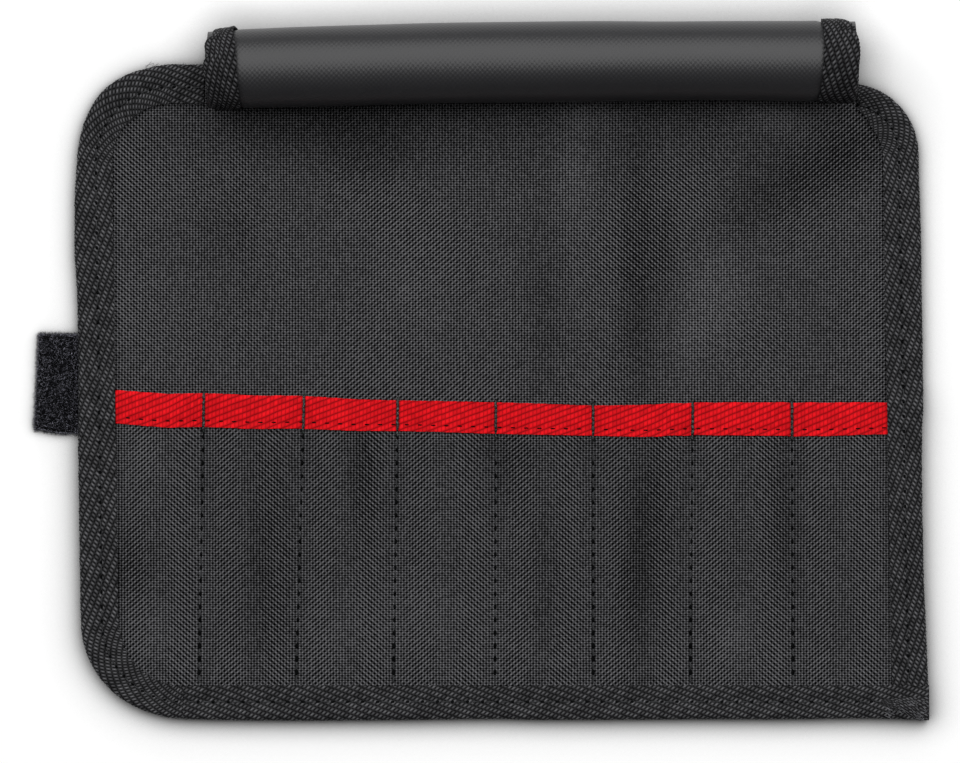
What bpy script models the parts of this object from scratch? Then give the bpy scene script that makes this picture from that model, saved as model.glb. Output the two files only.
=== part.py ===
"""Fabric tool roll, lying open and flat, with its narrow flap rolled up over the top edge.

The body is one cloth with eight stitched tool pockets under a red ribbon. Folded tape binds
every edge, a loop tab stands out at the left, and its hook patch is on the back.
The frame has +X to the right and +Y up the sheet, as the open roll is looked at, and +Z up
from the surface that it lies on. The origin is the middle of the whole object's floor area.
"""

import math

import bmesh
import bpy
from mathutils import Vector

MM = 0.001

# Body cloth: a four-sided sheet whose left, right and top edges lean a little
BODY_WIDTH = 248.7 * MM          # along the bottom edge
BODY_HEIGHT = 193.4 * MM         # up the left edge
TOP_FALL = 6.0 * MM              # how much lower the top edge ends at the right
LEFT_LEAN = 2.8 * MM             # how far the left edge leans out at the top
RIGHT_LEAN = 3.2 * MM            # how far the right edge leans in at the top
BOTTOM_LEFT_RADIUS = 29.7 * MM
TOP_LEFT_RADIUS = 28.0 * MM
TOP_RIGHT_RADIUS = 21.0 * MM

# Walls and the small gap between two cloths that lie on each other
CLOTH = 1.0 * MM
TAPE = 1.0 * MM
TAPE_FACE = 10.7 * MM            # how far the folded tape reaches in from the edge
TAPE_ROUND = 0.5 * MM            # rounding of the fold
RIBBON = 1.0 * MM
GAP = 0.3 * MM

# Pockets and their ribbon
MOUTH_HEIGHT = 97.6 * MM         # the pocket mouths above the bottom edge, at the left
MOUTH_RISE = 5.6 * MM            # how far a mouth stands open in its middle
RIBBON_FACE = 9.8 * MM
STEP_RUN = 8.0 * MM              # run in which the tape climbs onto the pocket cloth
TURN_LOSS = 3.4 * MM             # tape face lost where the binding turns into the flap's edge
TURN_RUN = 14.0 * MM

# Rolled flap
FLAP_LEFT = 35.8 * MM            # from the body's bottom left corner
FLAP_RIGHT_INSET = 18.0 * MM     # from the body's top right corner
ROLL_WIDTH = 23.3 * MM           # from the front of the roll to its back
ROLL_PITCH = 4.7 * MM            # from one turn of the roll to the next
ROLL_SQUASH = 0.85               # height of the roll against its width
ROLL_BACK = 11.8 * MM            # how far the roll's back stands beyond the top left corner
ROLL_TURNS = 1.44                # turns of cloth above the flat start
SEAM_RUN = 1.5 * MM              # the flap leaves the body flat for this far
NECK = 1.0 * MM                  # how much the tape draws in the roll's ends
NECK_RUN = 7.0 * MM

# Closure: a loop tab at the left edge and the hook patch that it fastens to
TAB_FOOT = 84.7 * MM             # above the bottom edge
TAB_HEIGHT = 30.0 * MM
TAB_REACH = 13.2 * MM            # beyond the body's left edge
TAB_ROOT = 9.0 * MM              # sewn under the binding
TAB_PILE = 2.1 * MM              # thickness with its pile
TAB_BASE = 1.0 * MM
TAB_SLANT = 1.7 * MM             # how far the tab's end leans out at the foot
TAB_RIM = 1.0 * MM               # run in which the pile rounds off at the tab's end
TAB_SHELF = 1.5 * MM             # bare run between the pile and the binding
TAB_SETBACK = 0.5 * MM           # the pile's slope ends this far before the binding
PATCH_WIDTH = 50.0 * MM
PATCH_INSET = 104.0 * MM         # from the bottom left corner
PATCH_ROUND = 3.0 * MM
SLOT_ROOM = 1.0 * MM             # the slot in the binding's back passes its edge by this

# Soft lie of the cloth between the bound edges
SAG = 0.9 * MM                   # the cloth settles this far inside the binding
FOLD = 0.8 * MM                  # height of the tallest soft fold
SAG_START = 1.0 * MM             # from the tape's inner edge
SAG_RUN = 16.0 * MM
PATCH_RUN = 9.0 * MM

# Levels above the surface that the roll lies on
LIE = TAPE + GAP
POCKET_LIE = LIE + CLOTH + GAP
BARE_TOP = POCKET_LIE + TAPE
FULL_TOP = BARE_TOP + CLOTH + GAP

# Mesh fineness
CORNER_STEPS = 8
PATCH_STEPS = 3
CLIMB_STEPS = 4
POCKET_STEPS = 6
ROLL_STEP = math.radians(15.0)
ROLL_START = math.radians(-60.0)
PANEL_COLUMNS = 24
PANEL_ROWS = 18
ON_LINE = 0.01 * MM              # a point this near a cut line lies on it
SHARP_ANGLE = math.radians(40.0)

# Rows of the pocket cloth's mesh, as shares of MOUTH_HEIGHT
POCKET_ROWS = (0.22, 0.36, 0.50, 0.64, 0.78, 0.88)

# Places along the roll where its section is drawn, as shares of the flap's width
ROLL_PLACES = (0.10, 0.20, 0.30, 0.42, 0.52, 0.62, 0.72, 0.82, 0.90)

# Stitch lines between pockets: shares of BODY_WIDTH, at the mouth and at the foot
STITCH_LINES = (
    (0.1423, 0.1355),
    (0.2610, 0.2501),
    (0.3719, 0.3659),
    (0.4877, 0.4865),
    (0.6027, 0.6027),
    (0.7209, 0.7173),
    (0.8380, 0.8392),
)

# Mouth line: across is a share of BODY_WIDTH, height a share of MOUTH_HEIGHT
MOUTH_LINE = (
    (0.000, 1.000),
    (0.142, 0.995),
    (0.261, 0.983),
    (0.372, 0.970),
    (0.488, 0.964),
    (0.603, 0.958),
    (0.721, 0.961),
    (1.000, 0.964),
)

# Pocket swell: depth is a share of the pocket's depth, rise a share of MOUTH_RISE
POCKET_SWELL = (
    (0.00, 1.00),
    (0.20, 0.98),
    (0.45, 0.78),
    (0.70, 0.42),
    (0.88, 0.10),
    (1.00, 0.00),
)

# Roll along its length: along is a share of the flap's width, back a share of ROLL_BACK
# and size a share of ROLL_WIDTH
ROLL_SECTIONS = (
    (0.00, 0.710, 0.936),
    (0.15, 0.840, 0.953),
    (0.30, 0.915, 0.980),
    (0.45, 0.960, 0.987),
    (0.62, 0.985, 0.996),
    (0.85, 0.985, 1.013),
    (1.00, 1.010, 1.047),
)

# Soft folds of the bare cloth: across is a share of BODY_WIDTH, up a share of BODY_HEIGHT,
# reach a share of BODY_HEIGHT along the fold, half a share of BODY_WIDTH across it,
# lean in degrees from upright, height a share of FOLD
CLOTH_FOLDS = (
    (0.585, 0.640, 0.260, 0.035, 0.0, 1.00),
    (0.660, 0.660, 0.200, 0.030, 0.0, -0.60),
    (0.850, 0.740, 0.110, 0.060, 55.0, 0.70),
    (0.400, 0.700, 0.160, 0.070, -20.0, -0.50),
    (0.210, 0.600, 0.180, 0.050, 15.0, 0.45),
)

# Loop tab from foot to head: up is a share of TAB_HEIGHT, pile a share of its full height
TAB_ROWS = (
    (0.00, 0.70),
    (0.04, 1.00),
    (0.35, 1.00),
    (0.65, 1.00),
    (0.96, 1.00),
    (1.00, 0.70),
)
TAB_RIM_PILE = 0.55              # pile left at the tab's end, as a share


def smooth_step(share):
    """Ease from 0 to 1 as the share goes from 0 to 1."""
    share = min(max(share, 0.0), 1.0)
    return share * share * (3.0 - 2.0 * share)


def read_table(table, key, column):
    """Read one column of a table between its rows, by the value of its first column."""
    if key <= table[0][0]:
        return table[0][column]
    for low, high in zip(table, table[1:]):
        if key <= high[0]:
            share = (key - low[0]) / (high[0] - low[0])
            return low[column] + share * (high[column] - low[column])
    return table[-1][column]


class Edge:
    """One straight edge of the body, from its start to its end, body on the left."""

    def __init__(self, start, end):
        self.start = Vector(start)
        self.end = Vector(end)
        self.along = (self.end - self.start).normalized()
        self.inward = Vector((-self.along.y, self.along.x))

    def depth(self, point):
        """Distance of a point from the edge, into the body."""
        return (Vector(point) - self.start).dot(self.inward)

    def at_height(self, height, inset=0.0):
        """Point of the upright edge at a height, moved into the body by the inset."""
        share = (height - self.start.y) / (self.end.y - self.start.y)
        return self.start.lerp(self.end, share) + self.inward * inset

    def at_width(self, across, inset=0.0):
        """Point of the level edge at a place across, moved into the body by the inset."""
        share = (across - self.start.x) / (self.end.x - self.start.x)
        return self.start.lerp(self.end, share) + self.inward * inset


class Corner:
    """A rounded corner between two edges of the body."""

    def __init__(self, edge_in, edge_out, radius):
        self.edge_in = edge_in
        self.edge_out = edge_out
        self.radius = radius
        turn = edge_in.inward + edge_out.inward
        turn = turn / turn.dot(edge_in.inward)
        self.centre = edge_in.end + turn * radius

    def stations(self, steps):
        """Edge points round the corner, each with its direction into the body."""
        first = math.atan2(-self.edge_in.inward.y, -self.edge_in.inward.x)
        last = math.atan2(-self.edge_out.inward.y, -self.edge_out.inward.x)
        if last < first:
            last += math.tau
        result = []
        for step in range(steps + 1):
            angle = first + (last - first) * step / steps
            outward = Vector((math.cos(angle), math.sin(angle)))
            result.append((self.centre + outward * self.radius, -outward))
        return result

    def holds(self, point):
        """True where a point lies in the corner's own wedge."""
        offset = Vector(point) - self.centre
        return offset.dot(self.edge_in.inward) < 0.0 and offset.dot(self.edge_out.inward) < 0.0


# The body's outline, going round with the cloth on the left
BOTTOM_LEFT = Vector((0.0, 0.0))
BOTTOM_RIGHT = Vector((BODY_WIDTH, 0.0))
TOP_RIGHT = Vector((BODY_WIDTH - RIGHT_LEAN, BODY_HEIGHT - TOP_FALL))
TOP_LEFT = Vector((-LEFT_LEAN, BODY_HEIGHT))
BOTTOM_EDGE = Edge(BOTTOM_LEFT, BOTTOM_RIGHT)
RIGHT_EDGE = Edge(BOTTOM_RIGHT, TOP_RIGHT)
TOP_EDGE = Edge(TOP_RIGHT, TOP_LEFT)
LEFT_EDGE = Edge(TOP_LEFT, BOTTOM_LEFT)
EDGES = (BOTTOM_EDGE, RIGHT_EDGE, TOP_EDGE, LEFT_EDGE)
TOP_RIGHT_CORNER = Corner(RIGHT_EDGE, TOP_EDGE, TOP_RIGHT_RADIUS)
TOP_LEFT_CORNER = Corner(TOP_EDGE, LEFT_EDGE, TOP_LEFT_RADIUS)
BOTTOM_LEFT_CORNER = Corner(LEFT_EDGE, BOTTOM_EDGE, BOTTOM_LEFT_RADIUS)
ROUND_CORNERS = (TOP_RIGHT_CORNER, TOP_LEFT_CORNER, BOTTOM_LEFT_CORNER)

FLAP_RIGHT = TOP_RIGHT.x - FLAP_RIGHT_INSET
FLAP_WIDTH = FLAP_RIGHT - FLAP_LEFT
POCKET_EDGE = TAPE_FACE + GAP
CLOTH_INSET = TAPE + GAP


def edge_distance(point):
    """Distance of a point from the body's rounded outline, into the body."""
    for corner in ROUND_CORNERS:
        if corner.holds(point):
            return corner.radius - (Vector(point) - corner.centre).length
    return min(edge.depth(point) for edge in EDGES)


def mouth_height(across):
    """Height of the pocket mouths above the bottom edge at a place across."""
    return MOUTH_HEIGHT * read_table(MOUTH_LINE, across / BODY_WIDTH, 1)


def pocket_line(index, height):
    """Where the line that bounds a pocket on its left stands across, at a height.

    Line 0 and the last line follow the inner edge of the binding.
    """
    if index == 0:
        return LEFT_EDGE.at_height(height, POCKET_EDGE).x
    if index == len(STITCH_LINES) + 1:
        return RIGHT_EDGE.at_height(height, POCKET_EDGE).x
    at_mouth, at_foot = STITCH_LINES[index - 1]
    share = height / MOUTH_HEIGHT
    return BODY_WIDTH * (at_foot + (at_mouth - at_foot) * share)


def column_place(pocket, step, height):
    """Where one upright column of a pocket's mesh stands across, at a height."""
    left = pocket_line(pocket, height)
    right = pocket_line(pocket + 1, height)
    return left + (right - left) * step / POCKET_STEPS


def pocket_columns():
    """All mesh columns of the pockets, each as a pocket and a step in it."""
    pockets = len(STITCH_LINES) + 1
    columns = [(pocket, step) for pocket in range(pockets) for step in range(POCKET_STEPS)]
    columns.append((pockets - 1, POCKET_STEPS))
    return columns


def pocket_swell(across, height):
    """How far the pocket cloth stands up from the body at a point."""
    mouth = mouth_height(across)
    depth = (mouth - height) / (mouth - TAPE_FACE)
    rise = MOUTH_RISE * read_table(POCKET_SWELL, depth, 1)
    for pocket in range(len(STITCH_LINES) + 1):
        left = pocket_line(pocket, height)
        right = pocket_line(pocket + 1, height)
        if left < across < right:
            share = (across - left) / (right - left)
            return rise * 4.0 * share * (1.0 - share)
    return 0.0


def patch_lift(point):
    """How far the hook patch under the cloth holds it up again, as a share of the sag."""
    centre_x = PATCH_INSET + PATCH_WIDTH / 2.0
    centre_y = TAB_FOOT + TAB_HEIGHT / 2.0
    beyond_x = abs(point[0] - centre_x) - PATCH_WIDTH / 2.0
    beyond_y = abs(point[1] - centre_y) - TAB_HEIGHT / 2.0
    beyond = math.hypot(max(beyond_x, 0.0), max(beyond_y, 0.0))
    return 1.0 - smooth_step(beyond / PATCH_RUN)


def drape(across, height):
    """Height of the body cloth against its level at the binding, with its sag and folds."""
    point = Vector((across, height))
    fade = smooth_step((edge_distance(point) - TAPE_FACE - SAG_START) / SAG_RUN)
    lift = patch_lift(point)
    level = -SAG * (1.0 - lift)
    above_pockets = smooth_step((height - mouth_height(across)) / SAG_RUN)
    folds = 0.0
    for fold_across, fold_up, reach, half, lean, share in CLOTH_FOLDS:
        offset = point - Vector((BODY_WIDTH * fold_across, BODY_HEIGHT * fold_up))
        turn = math.radians(lean)
        along = offset.x * math.sin(turn) + offset.y * math.cos(turn)
        beside = offset.x * math.cos(turn) - offset.y * math.sin(turn)
        far = (along / (BODY_HEIGHT * reach)) ** 2 + (beside / (BODY_WIDTH * half)) ** 2
        folds += FOLD * share * math.exp(-far)
    folds = max(folds, -(LIE - SAG) / 2.0)
    return fade * (level + folds * above_pockets * (1.0 - lift))


def make_material(name, colour, roughness):
    """A plain cloth surface in one colour."""
    material = bpy.data.materials.new(name)
    material.use_nodes = True
    shader = material.node_tree.nodes["Principled BSDF"]
    shader.inputs["Base Color"].default_value = (*colour, 1.0)
    shader.inputs["Roughness"].default_value = roughness
    shader.inputs["Metallic"].default_value = 0.0
    return material


def add_object(name, mesh, material):
    """Recalculate a mesh's outside, make it triangles and place it as a named object."""
    bmesh.ops.recalc_face_normals(mesh, faces=mesh.faces)
    bmesh.ops.triangulate(mesh, faces=mesh.faces)
    data = bpy.data.meshes.new(name)
    mesh.to_mesh(data)
    mesh.free()
    data.materials.append(material)
    piece = bpy.data.objects.new(name, data)
    bpy.context.scene.collection.objects.link(piece)
    return piece


def cut_sheet(outline, cuts):
    """A flat sheet of cloth inside an outline, divided along straight cut lines."""
    mesh = bmesh.new()
    corners = [mesh.verts.new((point[0], point[1], 0.0)) for point in outline]
    mesh.faces.new(corners)
    for start, end in cuts:
        run = Vector(end) - Vector(start)
        bmesh.ops.bisect_plane(
            mesh,
            geom=mesh.verts[:] + mesh.edges[:] + mesh.faces[:],
            dist=ON_LINE,
            plane_co=(start[0], start[1], 0.0),
            plane_no=(run.y, -run.x, 0.0),
        )
    return mesh


def raise_sheet(mesh, under, thickness):
    """Turn a flat sheet into a cloth: its underside follows a height, its top lies above."""
    lower = mesh.faces[:]
    made = bmesh.ops.extrude_face_region(mesh, geom=lower, use_keep_orig=True)
    upper = {item for item in made["geom"] if isinstance(item, bmesh.types.BMVert)}
    for vertex in mesh.verts:
        level = under(vertex.co.x, vertex.co.y)
        vertex.co.z = level + (thickness if vertex in upper else 0.0)


def loft(sections, mesh=None):
    """Close a row of equal closed sections into one solid with flat ends."""
    mesh = mesh or bmesh.new()
    rings = [[mesh.verts.new(point) for point in section] for section in sections]
    for ring, following in zip(rings, rings[1:]):
        for index, vertex in enumerate(ring):
            beside = (index + 1) % len(ring)
            mesh.faces.new((vertex, ring[beside], following[beside], following[index]))
    mesh.faces.new(rings[0][::-1])
    mesh.faces.new(rings[-1])
    return mesh


def tape_profile(top, face):
    """Section of a tape folded over an edge: pairs of depth from the edge and height."""
    return (
        (face, 0.0),
        (TAPE_ROUND, 0.0),
        (0.0, TAPE_ROUND),
        (0.0, top - TAPE_ROUND),
        (TAPE_ROUND, top),
        (face, top),
        (face, top - TAPE),
        (TAPE, top - TAPE),
        (TAPE, TAPE),
        (face, TAPE),
    )


def tape_top(across, height):
    """Height of the binding's upper face: it climbs onto the pocket cloth."""
    above = height - mouth_height(across) - GAP
    return BARE_TOP + (FULL_TOP - BARE_TOP) * smooth_step(1.0 - above / STEP_RUN)


def tape_face(base):
    """How far the tape reaches in from the edge: less where it turns into the flap's edge."""
    beside = min(abs(base.x - FLAP_LEFT), abs(base.x - FLAP_RIGHT))
    at_top = smooth_step((base.y - TOP_RIGHT_CORNER.centre.y) / TOP_RIGHT_RADIUS)
    turn = 1.0 - smooth_step(beside / TURN_RUN)
    return TAPE_FACE - TURN_LOSS * turn * at_top


def bind(stations):
    """A folded tape along stations, each an edge point and its direction into the body."""
    sections = []
    for base, inward in stations:
        profile = tape_profile(tape_top(base.x, base.y), tape_face(base))
        section = [(*(base + inward * depth), height) for depth, height in profile]
        sections.append(section)
    return loft(sections)


def top_station(across):
    """Where the body's top outline stands at a place across, looking straight down the body."""
    height = TOP_EDGE.at_width(across).y
    for corner in (TOP_RIGHT_CORNER, TOP_LEFT_CORNER):
        beside = across - corner.centre.x
        if corner.holds((across, height)) and abs(beside) < corner.radius:
            height = corner.centre.y + math.sqrt(corner.radius ** 2 - beside ** 2)
    return Vector((across, height)), Vector((0.0, -1.0))


def upright_stations(edge, low, high):
    """Stations of an upright edge between two heights, with rows where the tape climbs."""
    mouth = mouth_height(edge.at_height(MOUTH_HEIGHT).x) + GAP
    climb = [mouth + STEP_RUN * step / CLIMB_STEPS for step in range(CLIMB_STEPS + 1)]
    rows = [low, *(row for row in climb if low < row < high), high]
    return [(edge.at_height(row), edge.inward) for row in rows]


def make_back_panel(material):
    """The body's cloth, flat under the binding and softly draped inside it."""
    outline = [BOTTOM_EDGE.at_width(BODY_WIDTH - CLOTH_INSET, CLOTH_INSET)]
    for corner in ROUND_CORNERS:
        outline += [base + inward * CLOTH_INSET for base, inward in corner.stations(CORNER_STEPS)]
    cuts = []
    for column in range(1, PANEL_COLUMNS):
        across = BODY_WIDTH * column / PANEL_COLUMNS
        cuts.append(((across, 0.0), (across, BODY_HEIGHT)))
    for row in range(1, PANEL_ROWS):
        height = BODY_HEIGHT * row / PANEL_ROWS
        cuts.append(((0.0, height), (BODY_WIDTH, height)))
    mesh = cut_sheet(outline, cuts)
    raise_sheet(mesh, lambda across, height: LIE + drape(across, height), CLOTH)
    return add_object("back_panel", mesh, material)


def make_pocket_panel(material):
    """The pocket cloth, sewn down between pockets and standing open at each mouth."""
    outline = [BOTTOM_EDGE.at_width(BODY_WIDTH - CLOTH_INSET, CLOTH_INSET)]
    right_mouth = mouth_height(BODY_WIDTH)
    left_mouth = mouth_height(0.0)
    outline.append(RIGHT_EDGE.at_height(right_mouth, CLOTH_INSET))
    for across_share, height_share in reversed(MOUTH_LINE[1:-1]):
        outline.append(Vector((BODY_WIDTH * across_share, MOUTH_HEIGHT * height_share)))
    outline.append(LEFT_EDGE.at_height(left_mouth, CLOTH_INSET))
    corner = BOTTOM_LEFT_CORNER.stations(CORNER_STEPS)
    outline += [base + inward * CLOTH_INSET for base, inward in corner]
    cuts = []
    for pocket, step in pocket_columns():
        foot = (column_place(pocket, step, 0.0), 0.0)
        mouth = (column_place(pocket, step, MOUTH_HEIGHT), MOUTH_HEIGHT)
        cuts.append((foot, mouth))
    rows = [POCKET_EDGE, *(MOUTH_HEIGHT * share for share in POCKET_ROWS)]
    cuts += [((0.0, row), (BODY_WIDTH, row)) for row in rows]
    mesh = cut_sheet(outline, cuts)

    def under(across, height):
        return POCKET_LIE + drape(across, height) + pocket_swell(across, height)

    raise_sheet(mesh, under, CLOTH)
    return add_object("pocket_panel", mesh, material)


def make_ribbon(material):
    """The red ribbon on the pocket mouths, turned down over the cloth's cut edge."""
    sections = []
    for pocket, step in pocket_columns():
        across = column_place(pocket, step, MOUTH_HEIGHT)
        mouth = mouth_height(across)

        def cloth_top(height, pocket=pocket, step=step):
            place = column_place(pocket, step, height)
            swell = pocket_swell(place, min(height, mouth_height(place)))
            return place, POCKET_LIE + drape(place, height) + swell + CLOTH

        section = []
        for rise, level in (
            (-RIBBON_FACE, GAP),
            (-RIBBON_FACE / 2.0, GAP),
            (GAP, GAP),
            (GAP, -CLOTH),
            (GAP + RIBBON, -CLOTH),
            (GAP + RIBBON, GAP + RIBBON / 2.0),
            (GAP + RIBBON / 2.0, GAP + RIBBON),
            (-RIBBON_FACE / 2.0, GAP + RIBBON),
            (-RIBBON_FACE, GAP + RIBBON),
        ):
            place, top = cloth_top(mouth + rise)
            section.append((place, mouth + rise, top + level))
        sections.append(section)
    return add_object("pocket_ribbon", loft(sections), material)


def make_bindings(material):
    """The folded tape along the bottom, the left and the right edge of the body."""
    corner = BOTTOM_LEFT_CORNER.stations(CORNER_STEPS)
    corner_end = corner[-1][0].x
    bottom_end = RIGHT_EDGE.at_height(0.0).x
    stretch = bottom_end - corner_end - GAP
    bottom = []
    for step in range(CORNER_STEPS + 1):
        across = corner_end + GAP + stretch * step / CORNER_STEPS
        bottom.append((BOTTOM_EDGE.at_width(across), BOTTOM_EDGE.inward))
    bottom_piece = add_object("bottom_binding", bind(bottom), material)

    top_corner = TOP_LEFT_CORNER.stations(CORNER_STEPS)
    left = [top_station(FLAP_LEFT - GAP)]
    left += [station for station in top_corner if station[0].x < FLAP_LEFT - SEAM_RUN]
    straight = upright_stations(LEFT_EDGE, corner[0][0].y, top_corner[-1][0].y)
    left += straight[::-1][1:-1]
    left += corner
    left_piece = add_object("left_binding", bind(left), material)

    right_corner = TOP_RIGHT_CORNER.stations(CORNER_STEPS)
    right = upright_stations(RIGHT_EDGE, POCKET_EDGE, right_corner[0][0].y)[:-1]
    right += [station for station in right_corner if station[0].x > FLAP_RIGHT + SEAM_RUN]
    right.append(top_station(FLAP_RIGHT + GAP))
    right_piece = add_object("right_binding", bind(right), material)
    return bottom_piece, left_piece, right_piece


def flap_line(across, edge_depth):
    """The rolled flap's outer face at a place across: points of Y and Z from its flat start.

    The edge depth is the distance from the flap's nearer side edge.
    """
    share = (across - FLAP_LEFT) / FLAP_WIDTH
    back = TOP_LEFT.y + ROLL_BACK * read_table(ROLL_SECTIONS, share, 1)
    neck = NECK * (1.0 - smooth_step((edge_depth - TAPE_FACE) / NECK_RUN))
    size = ROLL_WIDTH * read_table(ROLL_SECTIONS, share, 2)
    radius = size / 2.0 + ROLL_PITCH / 4.0
    middle_y = back - radius
    start_radius = radius + ROLL_PITCH / 4.0
    middle_z = LIE + ROLL_SQUASH * start_radius
    start = TOP_EDGE.at_width(across).y - CLOTH_INSET + GAP
    points = [Vector((start, LIE)), Vector((start + SEAM_RUN, LIE))]
    steps = round((ROLL_TURNS * math.tau) / ROLL_STEP)
    for step in range(steps + 1):
        angle = ROLL_START + ROLL_STEP * step
        reach = radius - neck - ROLL_PITCH * angle / math.tau
        points.append(Vector((
            middle_y + reach * math.cos(angle),
            middle_z + ROLL_SQUASH * reach * math.sin(angle),
        )))
    return points


def offset_line(points, distance):
    """Move an open line of points sideways, to its left, keeping each stretch parallel."""
    normals = []
    for point, following in zip(points, points[1:]):
        run = (following - point).normalized()
        normals.append(Vector((-run.y, run.x)))
    result = []
    for index, point in enumerate(points):
        before = normals[max(index - 1, 0)]
        after = normals[min(index, len(normals) - 1)]
        middle = (before + after).normalized()
        result.append(point + middle * distance / middle.dot(after))
    return result


def make_rolled_flap(material):
    """The flap's cloth, wound one and a half turns round an open core."""
    inner = TAPE_FACE + GAP
    places = [CLOTH_INSET, inner, inner + NECK_RUN / 2.0]
    places += [FLAP_WIDTH * share for share in ROLL_PLACES]
    places += [FLAP_WIDTH - inner - NECK_RUN / 2.0, FLAP_WIDTH - inner, FLAP_WIDTH - CLOTH_INSET]
    sections = []
    for place in sorted(places):
        across = FLAP_LEFT + place
        outer = flap_line(across, min(place, FLAP_WIDTH - place))
        section = outer + offset_line(outer, CLOTH)[::-1]
        sections.append([(across, point.x, point.y) for point in section])
    return add_object("rolled_flap", loft(sections), material)


def make_flap_binding(name, edge, direction, material):
    """The folded tape on one side edge of the flap, following it round the roll."""
    profile = (
        (TAPE_FACE, -LIE),
        (TAPE_ROUND, -LIE),
        (0.0, -LIE + TAPE_ROUND),
        (0.0, CLOTH + LIE - TAPE_ROUND),
        (TAPE_ROUND, CLOTH + LIE),
        (TAPE_FACE, CLOTH + LIE),
        (TAPE_FACE, CLOTH + GAP),
        (TAPE, CLOTH + GAP),
        (TAPE, -GAP),
        (TAPE_FACE, -GAP),
    )
    columns = []
    for depth, level in profile:
        across = edge + direction * depth
        line = flap_line(across, depth)
        columns.append([(across, point.x, point.y) for point in offset_line(line, level)])
    return add_object(name, loft(list(zip(*columns))), material)


def make_loop_tab(material):
    """The loop tab: its pile stands beyond the binding, its thin root lies under it."""
    profile = (
        (-TAB_REACH, TAB_RIM_PILE, 1.0),
        (-TAB_REACH + TAB_RIM, 1.0, 1.0),
        (-TAB_SHELF, 1.0, 0.0),
        (-TAB_SETBACK, 0.0, 0.0),
        (TAB_ROOT, 0.0, 0.0),
    )
    sections = []
    for share, crown in TAB_ROWS:
        height = TAB_FOOT + TAB_HEIGHT * share
        slant = TAB_SLANT * (0.5 - share)
        edge = LEFT_EDGE.at_height(height).x
        lower = []
        upper = []
        for place, pile, lean in profile:
            across = edge + place - slant * lean
            lower.append((across, height, 0.0))
            upper.append((across, height, TAB_BASE + (TAB_PILE - TAB_BASE) * pile * crown))
        sections.append(lower + upper[::-1])
    return add_object("loop_tab", loft(sections), material)


def cut_tab_slot(binding):
    """Leave the binding's back open where the tab's root is sewn under it."""
    foot = TAB_FOOT - GAP
    head = TAB_FOOT + TAB_HEIGHT + GAP
    left = min(LEFT_EDGE.at_height(foot).x, LEFT_EDGE.at_height(head).x) - SLOT_ROOM
    right = max(LEFT_EDGE.at_height(foot).x, LEFT_EDGE.at_height(head).x) + TAPE_FACE + SLOT_ROOM
    size = Vector((right - left, head - foot, 2.0 * LIE))
    mesh = bmesh.new()
    bmesh.ops.create_cube(mesh, size=1.0)
    bmesh.ops.scale(mesh, vec=size, verts=mesh.verts)
    centre = Vector(((left + right) / 2.0, (foot + head) / 2.0, 0.0))
    bmesh.ops.translate(mesh, vec=centre, verts=mesh.verts)
    data = bpy.data.meshes.new("tab_slot")
    mesh.to_mesh(data)
    mesh.free()
    cutter = bpy.data.objects.new("tab_slot", data)
    bpy.context.scene.collection.objects.link(cutter)
    cutter.hide_render = True
    cutter.display_type = 'WIRE'
    boolean = binding.modifiers.new("tab_slot", 'BOOLEAN')
    boolean.operation = 'DIFFERENCE'
    boolean.solver = 'EXACT'
    boolean.object = cutter
    return cutter


def make_hook_patch(material):
    """The hook patch on the back, a flat plate with rounded corners."""
    corners = []
    half = Vector((PATCH_WIDTH / 2.0, TAB_HEIGHT / 2.0))
    centre = Vector((PATCH_INSET, TAB_FOOT)) + half
    for quarter in range(4):
        turn = math.radians(90.0 * quarter)
        side = Vector((1.0 if quarter in (0, 3) else -1.0, 1.0 if quarter in (0, 1) else -1.0))
        middle = centre + Vector((
            side.x * (half.x - PATCH_ROUND),
            side.y * (half.y - PATCH_ROUND),
        ))
        for step in range(PATCH_STEPS + 1):
            angle = turn + math.radians(90.0 * step / PATCH_STEPS)
            corners.append(middle + PATCH_ROUND * Vector((math.cos(angle), math.sin(angle))))
    sections = [[(point.x, point.y, level) for point in corners] for level in (0.0, TAPE)]
    return add_object("hook_patch", loft(sections), material)


def centre_on_floor(pieces):
    """Move every piece so that the origin is the middle of the object's floor area."""
    points = [vertex.co for piece in pieces for vertex in piece.data.vertices]
    middle_x = (min(point.x for point in points) + max(point.x for point in points)) / 2.0
    middle_y = (min(point.y for point in points) + max(point.y for point in points)) / 2.0
    for piece in pieces:
        for vertex in piece.data.vertices:
            vertex.co.x -= middle_x
            vertex.co.y -= middle_y
    return middle_x, middle_y


def shade_round(piece):
    """Shade a piece smooth, with its sharp edges kept."""
    piece.data.shade_smooth()
    piece.data.set_sharp_from_angle(angle=SHARP_ANGLE)


def build():
    """Build every piece of the tool roll and return the shift that centred it."""
    for old in list(bpy.data.objects):
        bpy.data.objects.remove(old, do_unlink=True)
    woven = make_material("woven_cloth", (0.036, 0.036, 0.039), 0.85)
    coated = make_material("coated_cloth", (0.040, 0.040, 0.043), 0.45)
    tape = make_material("binding_tape", (0.022, 0.022, 0.023), 0.80)
    red = make_material("red_ribbon", (0.55, 0.008, 0.012), 0.60)
    pile = make_material("loop_pile", (0.010, 0.010, 0.013), 0.95)
    hook = make_material("hook_strip", (0.012, 0.012, 0.013), 0.70)
    pieces = [
        make_back_panel(woven),
        make_pocket_panel(woven),
        make_ribbon(red),
        *make_bindings(tape),
        make_rolled_flap(coated),
        make_flap_binding("flap_binding_left", FLAP_LEFT, 1.0, tape),
        make_flap_binding("flap_binding_right", FLAP_RIGHT, -1.0, tape),
        make_loop_tab(pile),
        make_hook_patch(hook),
    ]
    for piece in pieces:
        shade_round(piece)
    left_binding = next(piece for piece in pieces if piece.name == "left_binding")
    cutter = cut_tab_slot(left_binding)
    return centre_on_floor([*pieces, cutter])


build()
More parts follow.
